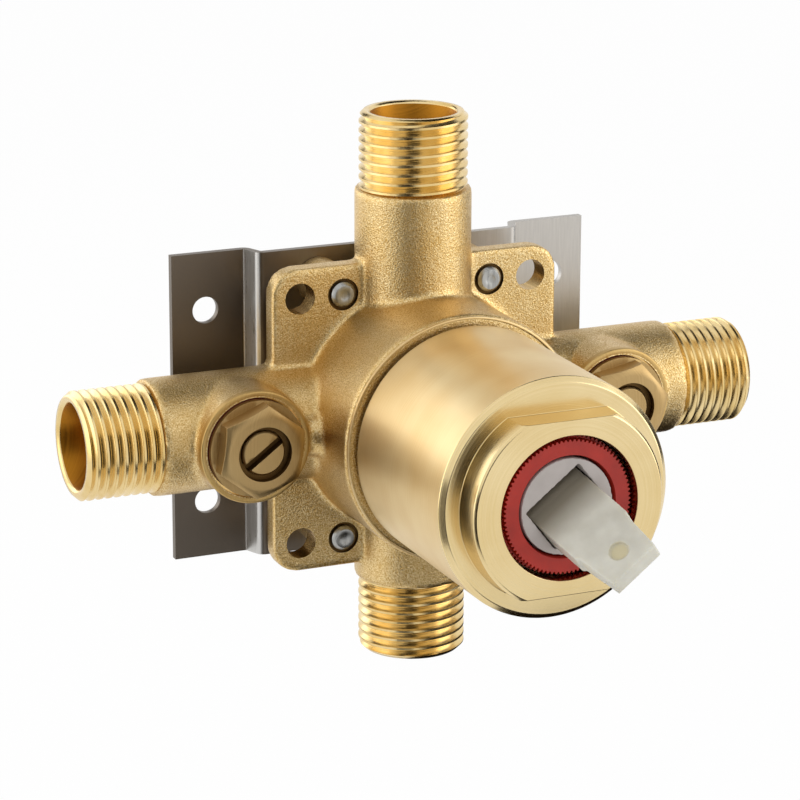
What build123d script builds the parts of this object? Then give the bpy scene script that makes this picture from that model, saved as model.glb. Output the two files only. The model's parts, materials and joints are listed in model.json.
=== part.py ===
"""Pressure balance rough-in valve: cast brass body on a folded wall bracket, with a screwed
bonnet, a lever cartridge, a balance spool and a screwdriver stop on each inlet.

Every piece is modelled about the crossing of the four pipe axes. Depth is measured from there
towards the front, so a point at depth d has Y = -d. place() then moves the piece to the wall
frame: origin at the middle of the bracket's wall holes, front -Y, shower outlet +Z."""
import os
from math import cos, radians, sin, tan

from build123d import *

# Pipe runs
INLET_REACH = 70.0          # pipe crossing to the end of either inlet
SHOWER_NECK = 13.7          # cast pipe between the ears and the shower thread
TUB_NECK = 3.9              # cast pipe between the ears and the tub thread
THREAD_RADIUS = 10.5        # half inch pipe thread, over its crests
THREAD_LENGTH = 15.0
THREAD_CHAMFER = 0.9
PORT_RADIUS = 8.2
NECK_RADIUS = 11.3          # cast pipe behind the thread
PORT_DEPTH = 19.0           # wide bore from the pipe's end
CORE_RADIUS = 6.0           # cored water way between the two outlets

# Barrel
BARREL_RADIUS = 24.5
BARREL_BACK = 4.0           # barrel behind the pipe axes
COLLAR_RADIUS = 24.1        # machined ring behind the bonnet
COLLAR_WIDTH = 2.2
COLLAR_FRONT = 25.0
SPIGOT_RADIUS = 20.3        # bonnet thread on the body
SPIGOT_FRONT = 39.5
CAVITY_RADIUS = 18.0
FLOOR_WALL = 2.2            # brass between the water way and the cavity
CAST_FILLET = 2.0           # soft inside corners of the casting

# Mounting ears
EAR_WIDTH = 59.8
EAR_HEIGHT = 60.6
EAR_CORNER = 5.0
EAR_FRONT = 2.0
EAR_THICKNESS = 4.5
EAR_HOLE_RADIUS = 3.05
EAR_HOLE_X = 24.3
EAR_HOLE_Z = 24.55
SCREW_X = 15.4
SCREW_BOSS_RADIUS = 4.6

# Bracket
SHEET = 1.5
PIPE_TO_WALL = 16.9         # pipe axes to the wall plane
WEB_STAND_OFF = 4.0         # wall plane to the back of the web
BRACKET_WIDTH = 88.0
BRACKET_HEIGHT = 61.6
WING_FOLD_X = 28.6
RISER_RUN = 1.6             # sideways run of the riser between web and wing
BEND_RADIUS = 1.4
WING_HOLE_X = 37.1
WING_HOLE_Z = 19.4
WING_HOLE_RADIUS = 2.65
WING_CORNER = 1.0

# Bracket screws
SCREW_RADIUS = 2.5
SCREW_PLAY = 0.05
SCREW_WEB_PLAY = 0.25
SCREW_HEAD_RADIUS = 4.2
SCREW_HEAD_HEIGHT = 2.6
SCREW_HEAD_RIM = 1.3        # height of the head's upright edge
SCREW_HEAD_CROWN = 2.9      # radius of the head's flat crown
SCREW_TIP_PROUD = 0.8
SCREW_TIP_CHAMFER = 0.6
SCREW_RELIEF = 0.6          # counterbore round the screw's tip
DRIVE_WIDTH = 1.2
DRIVE_LENGTH = 4.6
DRIVE_DEPTH = 1.5

# Bonnet
BONNET_RADIUS = 22.8
BONNET_FRONT = 64.2
BONNET_CHAMFER = 1.0
BONNET_GASKET = 0.9
BONNET_THREAD_PLAY = 0.15
BONNET_THREAD_RUNOUT = 0.5
BONNET_SHOULDER = 60.0      # inner shoulder that clamps the cartridge
CARTRIDGE_PLAY = 0.3        # cartridge in the cavity
BOSS_RADIUS = 19.1
BOSS_FRONT = 70.0
BOSS_FLATS = 32.8           # across the wrench flats
BOSS_CHAMFER = 0.5
BOSS_HOLE_RADIUS = 13.55

# Cartridge shell
SHELL_WALL = 2.9
SHELL_NECK_PLAY = 0.55      # shell's neck in the bonnet's hole
SHELL_NECK_WALL = 0.7
SHELL_STEP = 58.0           # underside of the shell's front wall
BASE_BACK = 26.0
BASE_FLANGE = 3.0
BASE_PLAY = 0.1
FIXED_DISC_BACK = 44.0
FIXED_DISC_PLAY = 1.3       # fixed disc in the shell's bore
FIXED_DISC_THICKNESS = 4.0
MOVING_DISC_INSET = 0.6     # moving disc inside the carrier's rim
MOVING_DISC_THICKNESS = 4.0
DISC_FILM = 0.02            # water film between the ceramic discs
MIX_POCKET_RADIUS = 6.5
MIX_POCKET_DEPTH = 2.0
PORT_INSET = 4.0            # port centres inside the fixed disc's rim
PORT_SPREAD = 35.0          # each side of straight down, degrees
DISC_PORT_RADIUS = 1.9
OUTLET_RADIUS = 3.1
OUTLET_INSET = 7.5          # mixed water way inside the cavity's wall

# Temperature limit ring
RING_BACK = 65.0
RING_FRONT = 69.0
RING_PLAY = 0.45            # limit ring in the bonnet's hole
RING_TOOTH = 0.55
RING_TEETH = 90
RING_BORE = 9.3
RING_EDGE = 0.4

# Temperature collar, turned with the lever
COLLAR_PLAY = 0.1
COLLAR_NECK_PLAY = 0.25
STEM_COLLAR_FRONT = 68.8
STEM_COLLAR_STEP = 63.5
COLLAR_END_PLAY = 0.1
RAIL_PLAY = 0.2             # rails in the shell's bore
LEVER_TURN = 38.0           # lever pin from the horizontal, degrees
SLOT_LENGTH = 13.1
SLOT_WIDTH = 9.6
POCKET_WIDTH = 13.6         # room for the lever's ball under the collar
POCKET_DEPTH = 3.0
GUIDE_PLAY = 0.3            # carrier beside each rail
LID_LAP = 0.2               # lid's overhang past each rail

# Lever
PIVOT_ABOVE_STEP = 1.45     # lever pin ahead of the collar's step
PIN_RADIUS = 1.25
PIN_LENGTH = 17.6
PIN_PLAY = 0.05
LEVER_TILT = 22.0           # lever at rest, from the valve's axis, degrees
LEVER_LENGTH = 22.4         # pivot to tip
LEVER_WIDTH = 12.6
LEVER_STEP_AT = 13.4        # pivot to the shoulders
LEVER_STEP_WIDTH = 11.6
LEVER_TIP_WIDTH = 10.2
LEVER_THICKNESS = 5.5
LEVER_WEDGE = 5.0           # taper of the upper face, degrees
LEVER_HEEL = 2.9            # round heel about the pin
DIMPLE_AT = 18.2
DIMPLE_RADIUS = 1.8
DIMPLE_DEPTH = 0.5
ARM_THICKNESS = 3.2
ARM_WIDTH = 5.6
BALL_RADIUS = 2.6
BALL_SUNK = 1.15            # ball's centre behind the carrier's face
BALL_PLAY = 0.12
ARM_SIDE_PLAY = 0.24

# Disc carrier
CARRIER_SWEEP = 3.8         # room round the carrier for its travel
CARRIER_FLAT = 1.0          # depth of each flat
CARRIER_FLOOR = 1.6
CARRIER_END_PLAY = 0.3      # carrier under the collar

# Balance unit
BALANCE_DEPTH = 14.0
SLEEVE_RADIUS = 5.15
SLEEVE_PLAY = 0.1
SLEEVE_BORE = 3.6
PORT_SEAL_LENGTH = 2.6      # sleeve end to the cavity's wall
SLEEVE_RING_X = 10.5        # outer sleeve seals, from the middle
RING_SECTION = 0.6
GROOVE_PLAY = 0.15
BALANCE_PORT_X = 5.45
BALANCE_PORT_Z = -3.0
SPOOL_PLAY = 0.03
SPOOL_TRAVEL = 1.8          # spool's stroke each way
SPOOL_WAIST = 2.3
SPOOL_MIDDLE = 3.2          # half the middle land
SPOOL_END_LAND = 6.0
PORT_SEAL_BORE = 3.4
PORT_SEAL_PLAY = 0.05
FACE_SEAL_SECTION = 0.8
FACE_SEAL_CLEAR = 0.5       # port edge to seal groove

# Screwdriver stops
STOP_X = 38.2
STOP_BOSS_RADIUS = 11.0
STOP_RIM = 14.0
STOP_RECESS_RADIUS = 9.8
STOP_RECESS = 1.0
STOP_CHAMBER_RADIUS = 7.0
STOP_SEAT = 2.2
SEAT_RADIUS = 3.6
FEED_RADIUS = 4.6           # cored way from the inlet to under the seat
FEED_DEPTH = -4.5
BRIDGE_RADIUS = 2.4         # way from the stop to the cavity
BRIDGE_WALL = 1.7
BRIDGE_START = 3.0
GLAND_WASHER = 0.8
GLAND_FLANGE_RADIUS = 9.4
GLAND_FLANGE = 1.0
GLAND_FLATS = 15.8
GLAND_FRONT = 18.9
GLAND_PLAY = 0.1
GLAND_BACK = 9.5
GLAND_MOUTH_RADIUS = 5.3
GLAND_MOUTH = 1.5
GLAND_CHAMFER = 1.1
HEX_SIDES = 6
HEX_SLOPE = 30.0            # cone on the hex corners, degrees
STEM_RADIUS = 4.3
STEM_PLAY = 0.1
STEM_SUNK = 0.6             # stem end behind the gland's face
STEM_STUB_RADIUS = 2.0
STEM_STUB = 1.9
STEM_SLOT_WIDTH = 1.6
STEM_SLOT_DEPTH = 1.8
STEM_EDGE = 0.4
STEM_RING_SECTION = 0.55
STEM_RING_DEPTH = 15.0
STOP_WASHER_RADIUS = 5.6
STOP_WASHER = 2.8
WASHER_PLAY = 0.1
HOT_SLOT_TURN = 36.0        # degrees from the horizontal
COLD_SLOT_TURN = -45.0
HOT_HEX_TURN = 22.0
COLD_HEX_TURN = 10.5

# Sizes that follow from the fits
SHOWER_REACH = EAR_HEIGHT / 2 + SHOWER_NECK + THREAD_LENGTH
TUB_REACH = EAR_HEIGHT / 2 + TUB_NECK + THREAD_LENGTH
INLET_BORE_END = INLET_REACH - PORT_DEPTH
FLOOR = CORE_RADIUS + FLOOR_WALL
WEB_FRONT_Y = PIPE_TO_WALL - WEB_STAND_OFF - SHEET
BONNET_BACK = COLLAR_FRONT + BONNET_GASKET
CARTRIDGE_RADIUS = CAVITY_RADIUS - CARTRIDGE_PLAY
SHELL_BORE = CARTRIDGE_RADIUS - SHELL_WALL
SHELL_BACK = BASE_BACK + BASE_FLANGE
SHELL_NECK_RADIUS = BOSS_HOLE_RADIUS - SHELL_NECK_PLAY
SHELL_NECK_BORE = SHELL_NECK_RADIUS - SHELL_NECK_WALL
RING_RADIUS = BOSS_HOLE_RADIUS - RING_PLAY
FIXED_DISC_RADIUS = SHELL_BORE - FIXED_DISC_PLAY
PORT_CIRCLE = FIXED_DISC_RADIUS - PORT_INSET
OUTLET_Z = CAVITY_RADIUS - OUTLET_INSET
CARRIER_RADIUS = SHELL_BORE - CARRIER_SWEEP
CARRIER_FLATS = (CARRIER_RADIUS - CARRIER_FLAT) * 2
GUIDE_GAP = CARRIER_FLATS + GUIDE_PLAY * 2
MOVING_DISC_RADIUS = CARRIER_RADIUS - MOVING_DISC_INSET
SLEEVE_HALF = CAVITY_RADIUS - PORT_SEAL_LENGTH
SPOOL_HALF = SLEEVE_HALF - SPOOL_TRAVEL
MOVING_DISC_BACK = FIXED_DISC_BACK + FIXED_DISC_THICKNESS + DISC_FILM
CARRIER_BACK = MOVING_DISC_BACK + MOVING_DISC_THICKNESS
COLLAR_BOTTOM = SHELL_STEP - COLLAR_END_PLAY
CARRIER_FRONT = COLLAR_BOTTOM - CARRIER_END_PLAY
PIVOT_DEPTH = STEM_COLLAR_STEP + PIVOT_ABOVE_STEP
BALL_ARM = PIVOT_DEPTH - CARRIER_FRONT + BALL_SUNK      # pivot to the centre of the ball
CARRIER_SHIFT = BALL_ARM * sin(radians(LEVER_TILT))
TILT_ANGLE = LEVER_TURN - 90.0                      # way the lever leans, seen from the front
LEAN = Vector(cos(radians(TILT_ANGLE)), 0, sin(radians(TILT_ANGLE)))
GLAND_BASE = STOP_RIM - STOP_RECESS
STEM_FRONT = GLAND_FRONT - STEM_SUNK
SIDES = (-1, 1)


def front(depth, x=0.0, z=0.0):
    """Plane that faces the front at a depth: sketch X is X, sketch Y is Z."""
    return Plane(origin=(x, -depth, z), x_dir=(1, 0, 0), z_dir=(0, -1, 0))


def disc(radius, back, ahead, x=0.0, z=0.0):
    """Round bar along the valve's axis between two depths."""
    return extrude(front(back, x, z) * Circle(radius), amount=ahead - back)


def rod(radius, start, end):
    """Round bar from one point to another."""
    way = Vector(*end) - Vector(*start)
    return extrude(Plane(origin=start, z_dir=way) * Circle(radius), amount=way.length)


def turned(outline, x=0.0, z=0.0):
    """Lathe work about the valve's axis from (depth, radius) points."""
    points = [(radius, -depth) for depth, radius in outline]
    return Pos(x, 0, z) * revolve(make_face(Polyline(*points, close=True)), Axis.Y)


def ring(section, radius, depth, x=0.0, z=0.0):
    """Round seal about the valve's axis."""
    return Pos(x, -depth, z) * Rot(90, 0, 0) * Torus(radius, section)


def place(part):
    """Move a finished piece from the pipe axes to the wall frame."""
    return Pos(0, -PIPE_TO_WALL, 0) * part


def corners(x, z):
    return [(side * x, end * z) for side in SIDES for end in SIDES]


def spigot(reach):
    """Threaded pipe end along +X with its cast neck, solid."""
    neck = rod(NECK_RADIUS, (0, 0, 0), (reach - THREAD_LENGTH, 0, 0))
    thread = rod(THREAD_RADIUS, (0, 0, 0), (reach, 0, 0))
    end = thread.edges().sort_by(Axis.X)[-1]
    return neck + chamfer(end, THREAD_CHAMFER)


def pipe_ends():
    """The four pipe runs: sideways for the inlets, up and down for the outlets."""
    return [spigot(INLET_REACH),
            Rot(0, 180, 0) * spigot(INLET_REACH),
            Rot(0, -90, 0) * spigot(SHOWER_REACH),
            Rot(0, 90, 0) * spigot(TUB_REACH)]


def ear_plate():
    """Four ears cast as one plate across the pipes."""
    outline = RectangleRounded(EAR_WIDTH, EAR_HEIGHT, EAR_CORNER)
    return extrude(front(EAR_FRONT - EAR_THICKNESS) * outline, amount=EAR_THICKNESS)


def bridge(side, radius):
    """Sloping way from a stop to the cavity's side wall."""
    return rod(radius, (side * STOP_X, -BRIDGE_START, 0), (side * CAVITY_RADIUS, -BALANCE_DEPTH, 0))


def casting():
    """Outside of the body as it leaves the mould."""
    barrel = disc(BARREL_RADIUS, -BARREL_BACK, COLLAR_FRONT - COLLAR_WIDTH)
    limbs = pipe_ends() + [ear_plate()]
    raw = barrel
    for limb in limbs:
        raw += limb
    seams = new_edges(barrel, *limbs, combined=raw)
    raw = fillet(seams.filter_by(lambda seam: -seam.center().Y > EAR_FRONT - CAST_FILLET / 2), CAST_FILLET)
    for x, z in corners(SCREW_X, EAR_HOLE_Z):
        raw += disc(SCREW_BOSS_RADIUS, -WEB_FRONT_Y, 0, x, z)
    for side in SIDES:
        raw += disc(STOP_BOSS_RADIUS, 0, STOP_RIM, side * STOP_X)
        raw += bridge(side, BRIDGE_RADIUS + BRIDGE_WALL)
    return raw


def valve_body():
    body = casting()
    body += disc(COLLAR_RADIUS, 0, COLLAR_FRONT)
    body += disc(SPIGOT_RADIUS, 0, SPIGOT_FRONT)
    body -= disc(CAVITY_RADIUS, FLOOR, SPIGOT_FRONT)
    body -= rod(CORE_RADIUS, (0, 0, -TUB_REACH), (0, 0, SHOWER_REACH))
    body -= rod(PORT_RADIUS, (0, 0, SHOWER_REACH - PORT_DEPTH), (0, 0, SHOWER_REACH))
    body -= rod(PORT_RADIUS, (0, 0, PORT_DEPTH - TUB_REACH), (0, 0, -TUB_REACH))
    body -= disc(OUTLET_RADIUS, 0, FLOOR, 0, OUTLET_Z)
    for side in SIDES:
        stop = side * STOP_X
        body -= rod(PORT_RADIUS, (side * INLET_BORE_END, 0, 0), (side * INLET_REACH, 0, 0))
        body -= rod(FEED_RADIUS, (stop, -FEED_DEPTH, 0), (side * INLET_BORE_END, -FEED_DEPTH, 0))
        body -= disc(SEAT_RADIUS, FEED_DEPTH, STOP_SEAT, stop)
        body -= disc(STOP_CHAMBER_RADIUS, STOP_SEAT, STOP_RIM, stop)
        body -= disc(STOP_RECESS_RADIUS, GLAND_BASE, STOP_RIM, stop)
        body -= bridge(side, BRIDGE_RADIUS)
    for x, z in corners(EAR_HOLE_X, EAR_HOLE_Z):
        body -= disc(EAR_HOLE_RADIUS, EAR_FRONT - EAR_THICKNESS, EAR_FRONT, x, z)
    relief = SCREW_RADIUS + SCREW_PLAY + SCREW_RELIEF
    for x, z in corners(SCREW_X, EAR_HOLE_Z):
        body -= disc(SCREW_RADIUS + SCREW_PLAY, -WEB_FRONT_Y, EAR_FRONT, x, z)
        body -= disc(relief, EAR_FRONT - SCREW_RELIEF, EAR_FRONT, x, z)
    return body


def bracket():
    """Hat section folded from one strip, wings against the wall."""
    wing_y = PIPE_TO_WALL - SHEET / 2
    web_y = wing_y - WEB_STAND_OFF
    line = FilletPolyline(
        (-BRACKET_WIDTH / 2, wing_y), (-WING_FOLD_X, wing_y), (RISER_RUN - WING_FOLD_X, web_y),
        (WING_FOLD_X - RISER_RUN, web_y), (WING_FOLD_X, wing_y), (BRACKET_WIDTH / 2, wing_y),
        radius=BEND_RADIUS)
    strip = extrude(trace(line, line_width=SHEET), amount=BRACKET_HEIGHT / 2, both=True)
    tips = strip.edges().filter_by(Axis.Y).filter_by(lambda edge: abs(edge.center().X) > WING_HOLE_X)
    strip = fillet(tips, WING_CORNER)
    for x, z in corners(WING_HOLE_X, WING_HOLE_Z):
        strip -= disc(WING_HOLE_RADIUS, -PIPE_TO_WALL, 0, x, z)
    for x, z in corners(SCREW_X, EAR_HOLE_Z):
        strip -= disc(SCREW_RADIUS + SCREW_WEB_PLAY, -PIPE_TO_WALL, 0, x, z)
    return strip


def bracket_screw(x, z):
    """Pan head machine screw driven from behind, its tip through the ear."""
    seat = -WEB_FRONT_Y - SHEET
    tip = EAR_FRONT + SCREW_TIP_PROUD
    screw = turned([(seat - SCREW_HEAD_HEIGHT, 0), (seat - SCREW_HEAD_HEIGHT, SCREW_HEAD_CROWN),
                    (seat - SCREW_HEAD_RIM, SCREW_HEAD_RADIUS), (seat, SCREW_HEAD_RADIUS),
                    (seat, SCREW_RADIUS), (tip - SCREW_TIP_CHAMFER, SCREW_RADIUS),
                    (tip, SCREW_RADIUS - SCREW_TIP_CHAMFER), (tip, 0)], x, z)
    cross = Rectangle(DRIVE_LENGTH, DRIVE_WIDTH) + Rectangle(DRIVE_WIDTH, DRIVE_LENGTH)
    return screw - extrude(front(seat - SCREW_HEAD_HEIGHT, x, z) * cross, amount=DRIVE_DEPTH)


def bonnet():
    thread = SPIGOT_RADIUS + BONNET_THREAD_PLAY
    runout = SPIGOT_FRONT + BONNET_THREAD_RUNOUT
    cap = turned([(BONNET_BACK, thread), (BONNET_BACK, BONNET_RADIUS - BONNET_CHAMFER / 2),
                  (BONNET_BACK + BONNET_CHAMFER / 2, BONNET_RADIUS),
                  (BONNET_FRONT - BONNET_CHAMFER, BONNET_RADIUS),
                  (BONNET_FRONT, BONNET_RADIUS - BONNET_CHAMFER),
                  (BONNET_FRONT, BOSS_RADIUS), (BOSS_FRONT - BOSS_CHAMFER, BOSS_RADIUS),
                  (BOSS_FRONT, BOSS_RADIUS - BOSS_CHAMFER), (BOSS_FRONT, BOSS_HOLE_RADIUS),
                  (BONNET_SHOULDER, BOSS_HOLE_RADIUS), (BONNET_SHOULDER, CAVITY_RADIUS),
                  (runout, CAVITY_RADIUS), (runout, thread)])
    for side in SIDES:
        waste = Pos(0, side * BOSS_FLATS) * Rectangle(BOSS_FLATS * 2, BOSS_FLATS)
        cap -= extrude(front(BONNET_FRONT) * waste, amount=BOSS_FRONT)
    return cap


def bonnet_gasket():
    inner = SPIGOT_RADIUS + BONNET_THREAD_PLAY
    outer = BONNET_RADIUS - BONNET_CHAMFER
    return disc(outer, COLLAR_FRONT, BONNET_BACK) - disc(inner, COLLAR_FRONT, BONNET_BACK)


def cartridge_shell():
    return turned([(SHELL_BACK, SHELL_BORE), (SHELL_BACK, CARTRIDGE_RADIUS),
                   (BONNET_SHOULDER, CARTRIDGE_RADIUS), (BONNET_SHOULDER, SHELL_NECK_RADIUS),
                   (RING_BACK, SHELL_NECK_RADIUS), (RING_BACK, SHELL_NECK_BORE),
                   (SHELL_STEP, SHELL_NECK_BORE), (SHELL_STEP, SHELL_BORE)])


def disc_ports():
    """Hot and cold ports of the fixed disc, each side of straight down."""
    return [(side * PORT_CIRCLE * sin(radians(PORT_SPREAD)), -PORT_CIRCLE * cos(radians(PORT_SPREAD)))
            for side in SIDES]


def cartridge_base():
    base = disc(CARTRIDGE_RADIUS, BASE_BACK, SHELL_BACK)
    base += disc(SHELL_BORE - BASE_PLAY, BASE_BACK, FIXED_DISC_BACK)
    for side, (x, z) in zip(SIDES, disc_ports()):
        inlet = side * BALANCE_PORT_X
        base -= rod(DISC_PORT_RADIUS, (inlet, -BASE_BACK, BALANCE_PORT_Z), (x, -FIXED_DISC_BACK, z))
        base -= disc(DISC_PORT_RADIUS, BASE_BACK, SHELL_BACK, inlet, BALANCE_PORT_Z)
    base -= rod(OUTLET_RADIUS, (0, -BASE_BACK, OUTLET_Z), (0, -FIXED_DISC_BACK, 0))
    base -= disc(OUTLET_RADIUS, BASE_BACK, SHELL_BACK, 0, OUTLET_Z)
    return base


def fixed_disc():
    back = FIXED_DISC_BACK
    plate = disc(FIXED_DISC_RADIUS, back, back + FIXED_DISC_THICKNESS)
    plate -= disc(OUTLET_RADIUS, back, back + FIXED_DISC_THICKNESS)
    for x, z in disc_ports():
        plate -= disc(DISC_PORT_RADIUS, back, back + FIXED_DISC_THICKNESS, x, z)
    return plate


def carrier_centre():
    """Middle of the carrier at rest: the ball end swings the other way from the lever's tip."""
    return -CARRIER_SHIFT * LEAN.X, -CARRIER_SHIFT * LEAN.Z


def moving_disc():
    x, z = carrier_centre()
    plate = disc(MOVING_DISC_RADIUS, MOVING_DISC_BACK, CARRIER_BACK, x, z)
    return plate - disc(MIX_POCKET_RADIUS, MOVING_DISC_BACK, MOVING_DISC_BACK + MIX_POCKET_DEPTH, x, z)


def leaning(depth, x=0.0, z=0.0):
    """Front plane turned so that sketch X is the way the lever leans and sketch Y its pin."""
    return Plane(origin=(x, -depth, z), x_dir=LEAN, z_dir=(0, -1, 0))


def disc_carrier():
    x, z = carrier_centre()
    plane = leaning(CARRIER_BACK, x, z)
    outline = Circle(CARRIER_RADIUS) & Rectangle(CARRIER_RADIUS * 2, CARRIER_FLATS)
    carrier = extrude(plane * outline, amount=CARRIER_FRONT - CARRIER_BACK)
    socket = Rectangle((BALL_RADIUS + BALL_PLAY) * 2, ARM_WIDTH + ARM_SIDE_PLAY * 2)
    mouth = leaning(CARRIER_BACK + CARRIER_FLOOR, x, z)
    return carrier - extrude(mouth * socket, amount=CARRIER_FRONT - CARRIER_BACK)


def temperature_collar():
    neck = SHELL_NECK_BORE - COLLAR_PLAY
    collar = disc(neck, COLLAR_BOTTOM, STEM_COLLAR_STEP)
    collar += disc(RING_BORE - COLLAR_NECK_PLAY, STEM_COLLAR_STEP, STEM_COLLAR_FRONT)
    rails = Circle(SHELL_BORE - RAIL_PLAY) - Rectangle(CAVITY_RADIUS * 2, GUIDE_GAP)
    collar += extrude(leaning(CARRIER_BACK) * rails, amount=COLLAR_BOTTOM - CARRIER_BACK)
    lid = Circle(SHELL_BORE - RAIL_PLAY) - Rectangle(CAVITY_RADIUS * 2, GUIDE_GAP - LID_LAP * 2)
    collar += extrude(leaning(CARRIER_FRONT) * lid, amount=COLLAR_BOTTOM - CARRIER_FRONT)
    collar -= extrude(leaning(COLLAR_BOTTOM) * Rectangle(SLOT_WIDTH, SLOT_LENGTH), amount=STEM_COLLAR_FRONT)
    collar -= extrude(leaning(COLLAR_BOTTOM) * Rectangle(POCKET_WIDTH, SLOT_LENGTH), amount=POCKET_DEPTH)
    return collar - pin_bar(PIN_RADIUS + PIN_PLAY / 2, neck * 2)


def pin_bar(radius, length):
    """Round bar on the lever's pivot axis."""
    across = Vector(-LEAN.Z, 0, LEAN.X) * (length / 2)
    pivot = Vector(0, -PIVOT_DEPTH, 0)
    return rod(radius, pivot - across, pivot + across)


def lever():
    """Nylon lever, drawn upright in its own plane and then leaned about the pin."""
    half = LEVER_THICKNESS / 2
    thin = half - LEVER_LENGTH * tan(radians(LEVER_WEDGE))
    side = Plane(origin=(0, -PIVOT_DEPTH, 0), x_dir=LEAN, z_dir=Vector(LEAN.Z, 0, -LEAN.X))
    flank = Polyline((-half, 0), (half, 0), (half, LEVER_LENGTH), (-thin, LEVER_LENGTH), close=True)
    blade = extrude(side * make_face(flank), amount=LEVER_WIDTH / 2, both=True)
    wide, step, tip = LEVER_WIDTH / 2, LEVER_STEP_WIDTH / 2, LEVER_TIP_WIDTH / 2
    taper = Polyline((-wide, 0), (wide, 0), (wide, LEVER_STEP_AT), (step, LEVER_STEP_AT + wide - step),
                     (tip, LEVER_LENGTH), (-tip, LEVER_LENGTH), (-step, LEVER_STEP_AT + wide - step),
                     (-wide, LEVER_STEP_AT), close=True)
    face = Plane(origin=(0, -PIVOT_DEPTH, 0), x_dir=Vector(LEAN.Z, 0, -LEAN.X), z_dir=-LEAN)
    blade &= extrude(face * make_face(taper), amount=LEVER_LENGTH, both=True)
    dimple = Plane(face.origin + Vector(0, -DIMPLE_AT, 0), x_dir=face.x_dir, z_dir=face.z_dir)
    depth = half - DIMPLE_AT * tan(radians(LEVER_WEDGE)) - DIMPLE_DEPTH
    blade -= extrude(dimple.offset(depth) * Circle(DIMPLE_RADIUS), amount=LEVER_THICKNESS)
    heel = extrude(side * Circle(LEVER_HEEL), amount=LEVER_WIDTH / 2, both=True)
    shank = Pos(0, -BALL_ARM / 2) * Rectangle(ARM_THICKNESS, BALL_ARM)
    arm = extrude(side * shank, amount=ARM_WIDTH / 2, both=True)
    ball = Pos(0, BALL_ARM - PIVOT_DEPTH, 0) * Sphere(BALL_RADIUS)
    upright = blade + heel + arm + ball - pin_bar(PIN_RADIUS + PIN_PLAY, LEVER_WIDTH * 2)
    pivot = Axis((0, -PIVOT_DEPTH, 0), (-LEAN.Z, 0, LEAN.X))
    return upright.rotate(pivot, LEVER_TILT)


def temperature_limit_ring():
    """Red stop ring, its rim cut with fine teeth."""
    points = []
    for tooth in range(RING_TEETH * 2):
        reach = RING_RADIUS - RING_TOOTH * (tooth % 2)
        turn = radians(180.0 * tooth / RING_TEETH)
        points.append((reach * cos(turn), reach * sin(turn)))
    rim = make_face(Polyline(*points, close=True)) - Circle(RING_BORE)
    body = extrude(front(RING_BACK) * rim, amount=RING_FRONT - RING_BACK)
    bore = body.edges().filter_by(GeomType.CIRCLE).sort_by(Axis.Y)[0]
    return chamfer(bore, RING_EDGE)


def balance_housing():
    block = disc(CARTRIDGE_RADIUS, FLOOR, BASE_BACK)
    bore = SLEEVE_RADIUS + SLEEVE_PLAY
    block -= rod(bore, (-CAVITY_RADIUS, -BALANCE_DEPTH, 0), (CAVITY_RADIUS, -BALANCE_DEPTH, 0))
    block -= disc(OUTLET_RADIUS, FLOOR, BASE_BACK, 0, OUTLET_Z)
    for x, z in face_ports():
        block -= extrude(front(BASE_BACK, x, z) * seal_groove(z), amount=-FACE_SEAL_SECTION * 2)
    for side in SIDES:
        block -= disc(DISC_PORT_RADIUS, BALANCE_DEPTH, BASE_BACK, side * BALANCE_PORT_X, BALANCE_PORT_Z)
    floor_groove = front(FLOOR, 0, OUTLET_Z) * seal_groove(OUTLET_Z)
    return block - extrude(floor_groove, amount=FACE_SEAL_SECTION * 2)


def face_ports():
    """Three water ways between the balance unit and the cartridge base."""
    return [(side * BALANCE_PORT_X, BALANCE_PORT_Z) for side in SIDES] + [(0, OUTLET_Z)]


def face_seal_radius(z):
    port = OUTLET_RADIUS if z == OUTLET_Z else DISC_PORT_RADIUS
    return port + FACE_SEAL_CLEAR + GROOVE_PLAY + FACE_SEAL_SECTION


def seal_groove(z):
    """Ring sketch of the groove that a face seal sits in."""
    middle, half = face_seal_radius(z), FACE_SEAL_SECTION + GROOVE_PLAY
    return Circle(middle + half) - Circle(middle - half)


def base_seals():
    depth = BASE_BACK - FACE_SEAL_SECTION
    return Compound([ring(FACE_SEAL_SECTION, face_seal_radius(z), depth, x, z) for x, z in face_ports()])


def floor_seal():
    return ring(FACE_SEAL_SECTION, face_seal_radius(OUTLET_Z), FLOOR + FACE_SEAL_SECTION, 0, OUTLET_Z)


def along_balance(outline):
    """Lathe work about the balance bore from (x, radius) points."""
    return Pos(0, -BALANCE_DEPTH, 0) * revolve(make_face(Polyline(*outline, close=True)), Axis.X)


def sleeve_ring_radius():
    return SLEEVE_RADIUS + SLEEVE_PLAY - RING_SECTION


def balance_sleeve():
    sleeve = along_balance([(-SLEEVE_HALF, SLEEVE_BORE), (-SLEEVE_HALF, SLEEVE_RADIUS),
                            (SLEEVE_HALF, SLEEVE_RADIUS), (SLEEVE_HALF, SLEEVE_BORE)])
    floor = sleeve_ring_radius() - RING_SECTION
    wide = RING_SECTION + GROOVE_PLAY
    for x in (-SLEEVE_RING_X, 0, SLEEVE_RING_X):
        sleeve -= along_balance([(x - wide, floor), (x - wide, SLEEVE_RADIUS * 2),
                                 (x + wide, SLEEVE_RADIUS * 2), (x + wide, floor)])
    for side in SIDES:
        sleeve -= disc(DISC_PORT_RADIUS, BALANCE_DEPTH, BASE_BACK, side * BALANCE_PORT_X, BALANCE_PORT_Z)
    return sleeve


def sleeve_seals():
    seal = Rot(0, 90, 0) * Torus(sleeve_ring_radius(), RING_SECTION)
    return Compound([Pos(x, -BALANCE_DEPTH, 0) * seal for x in (-SLEEVE_RING_X, 0, SLEEVE_RING_X)])


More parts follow.
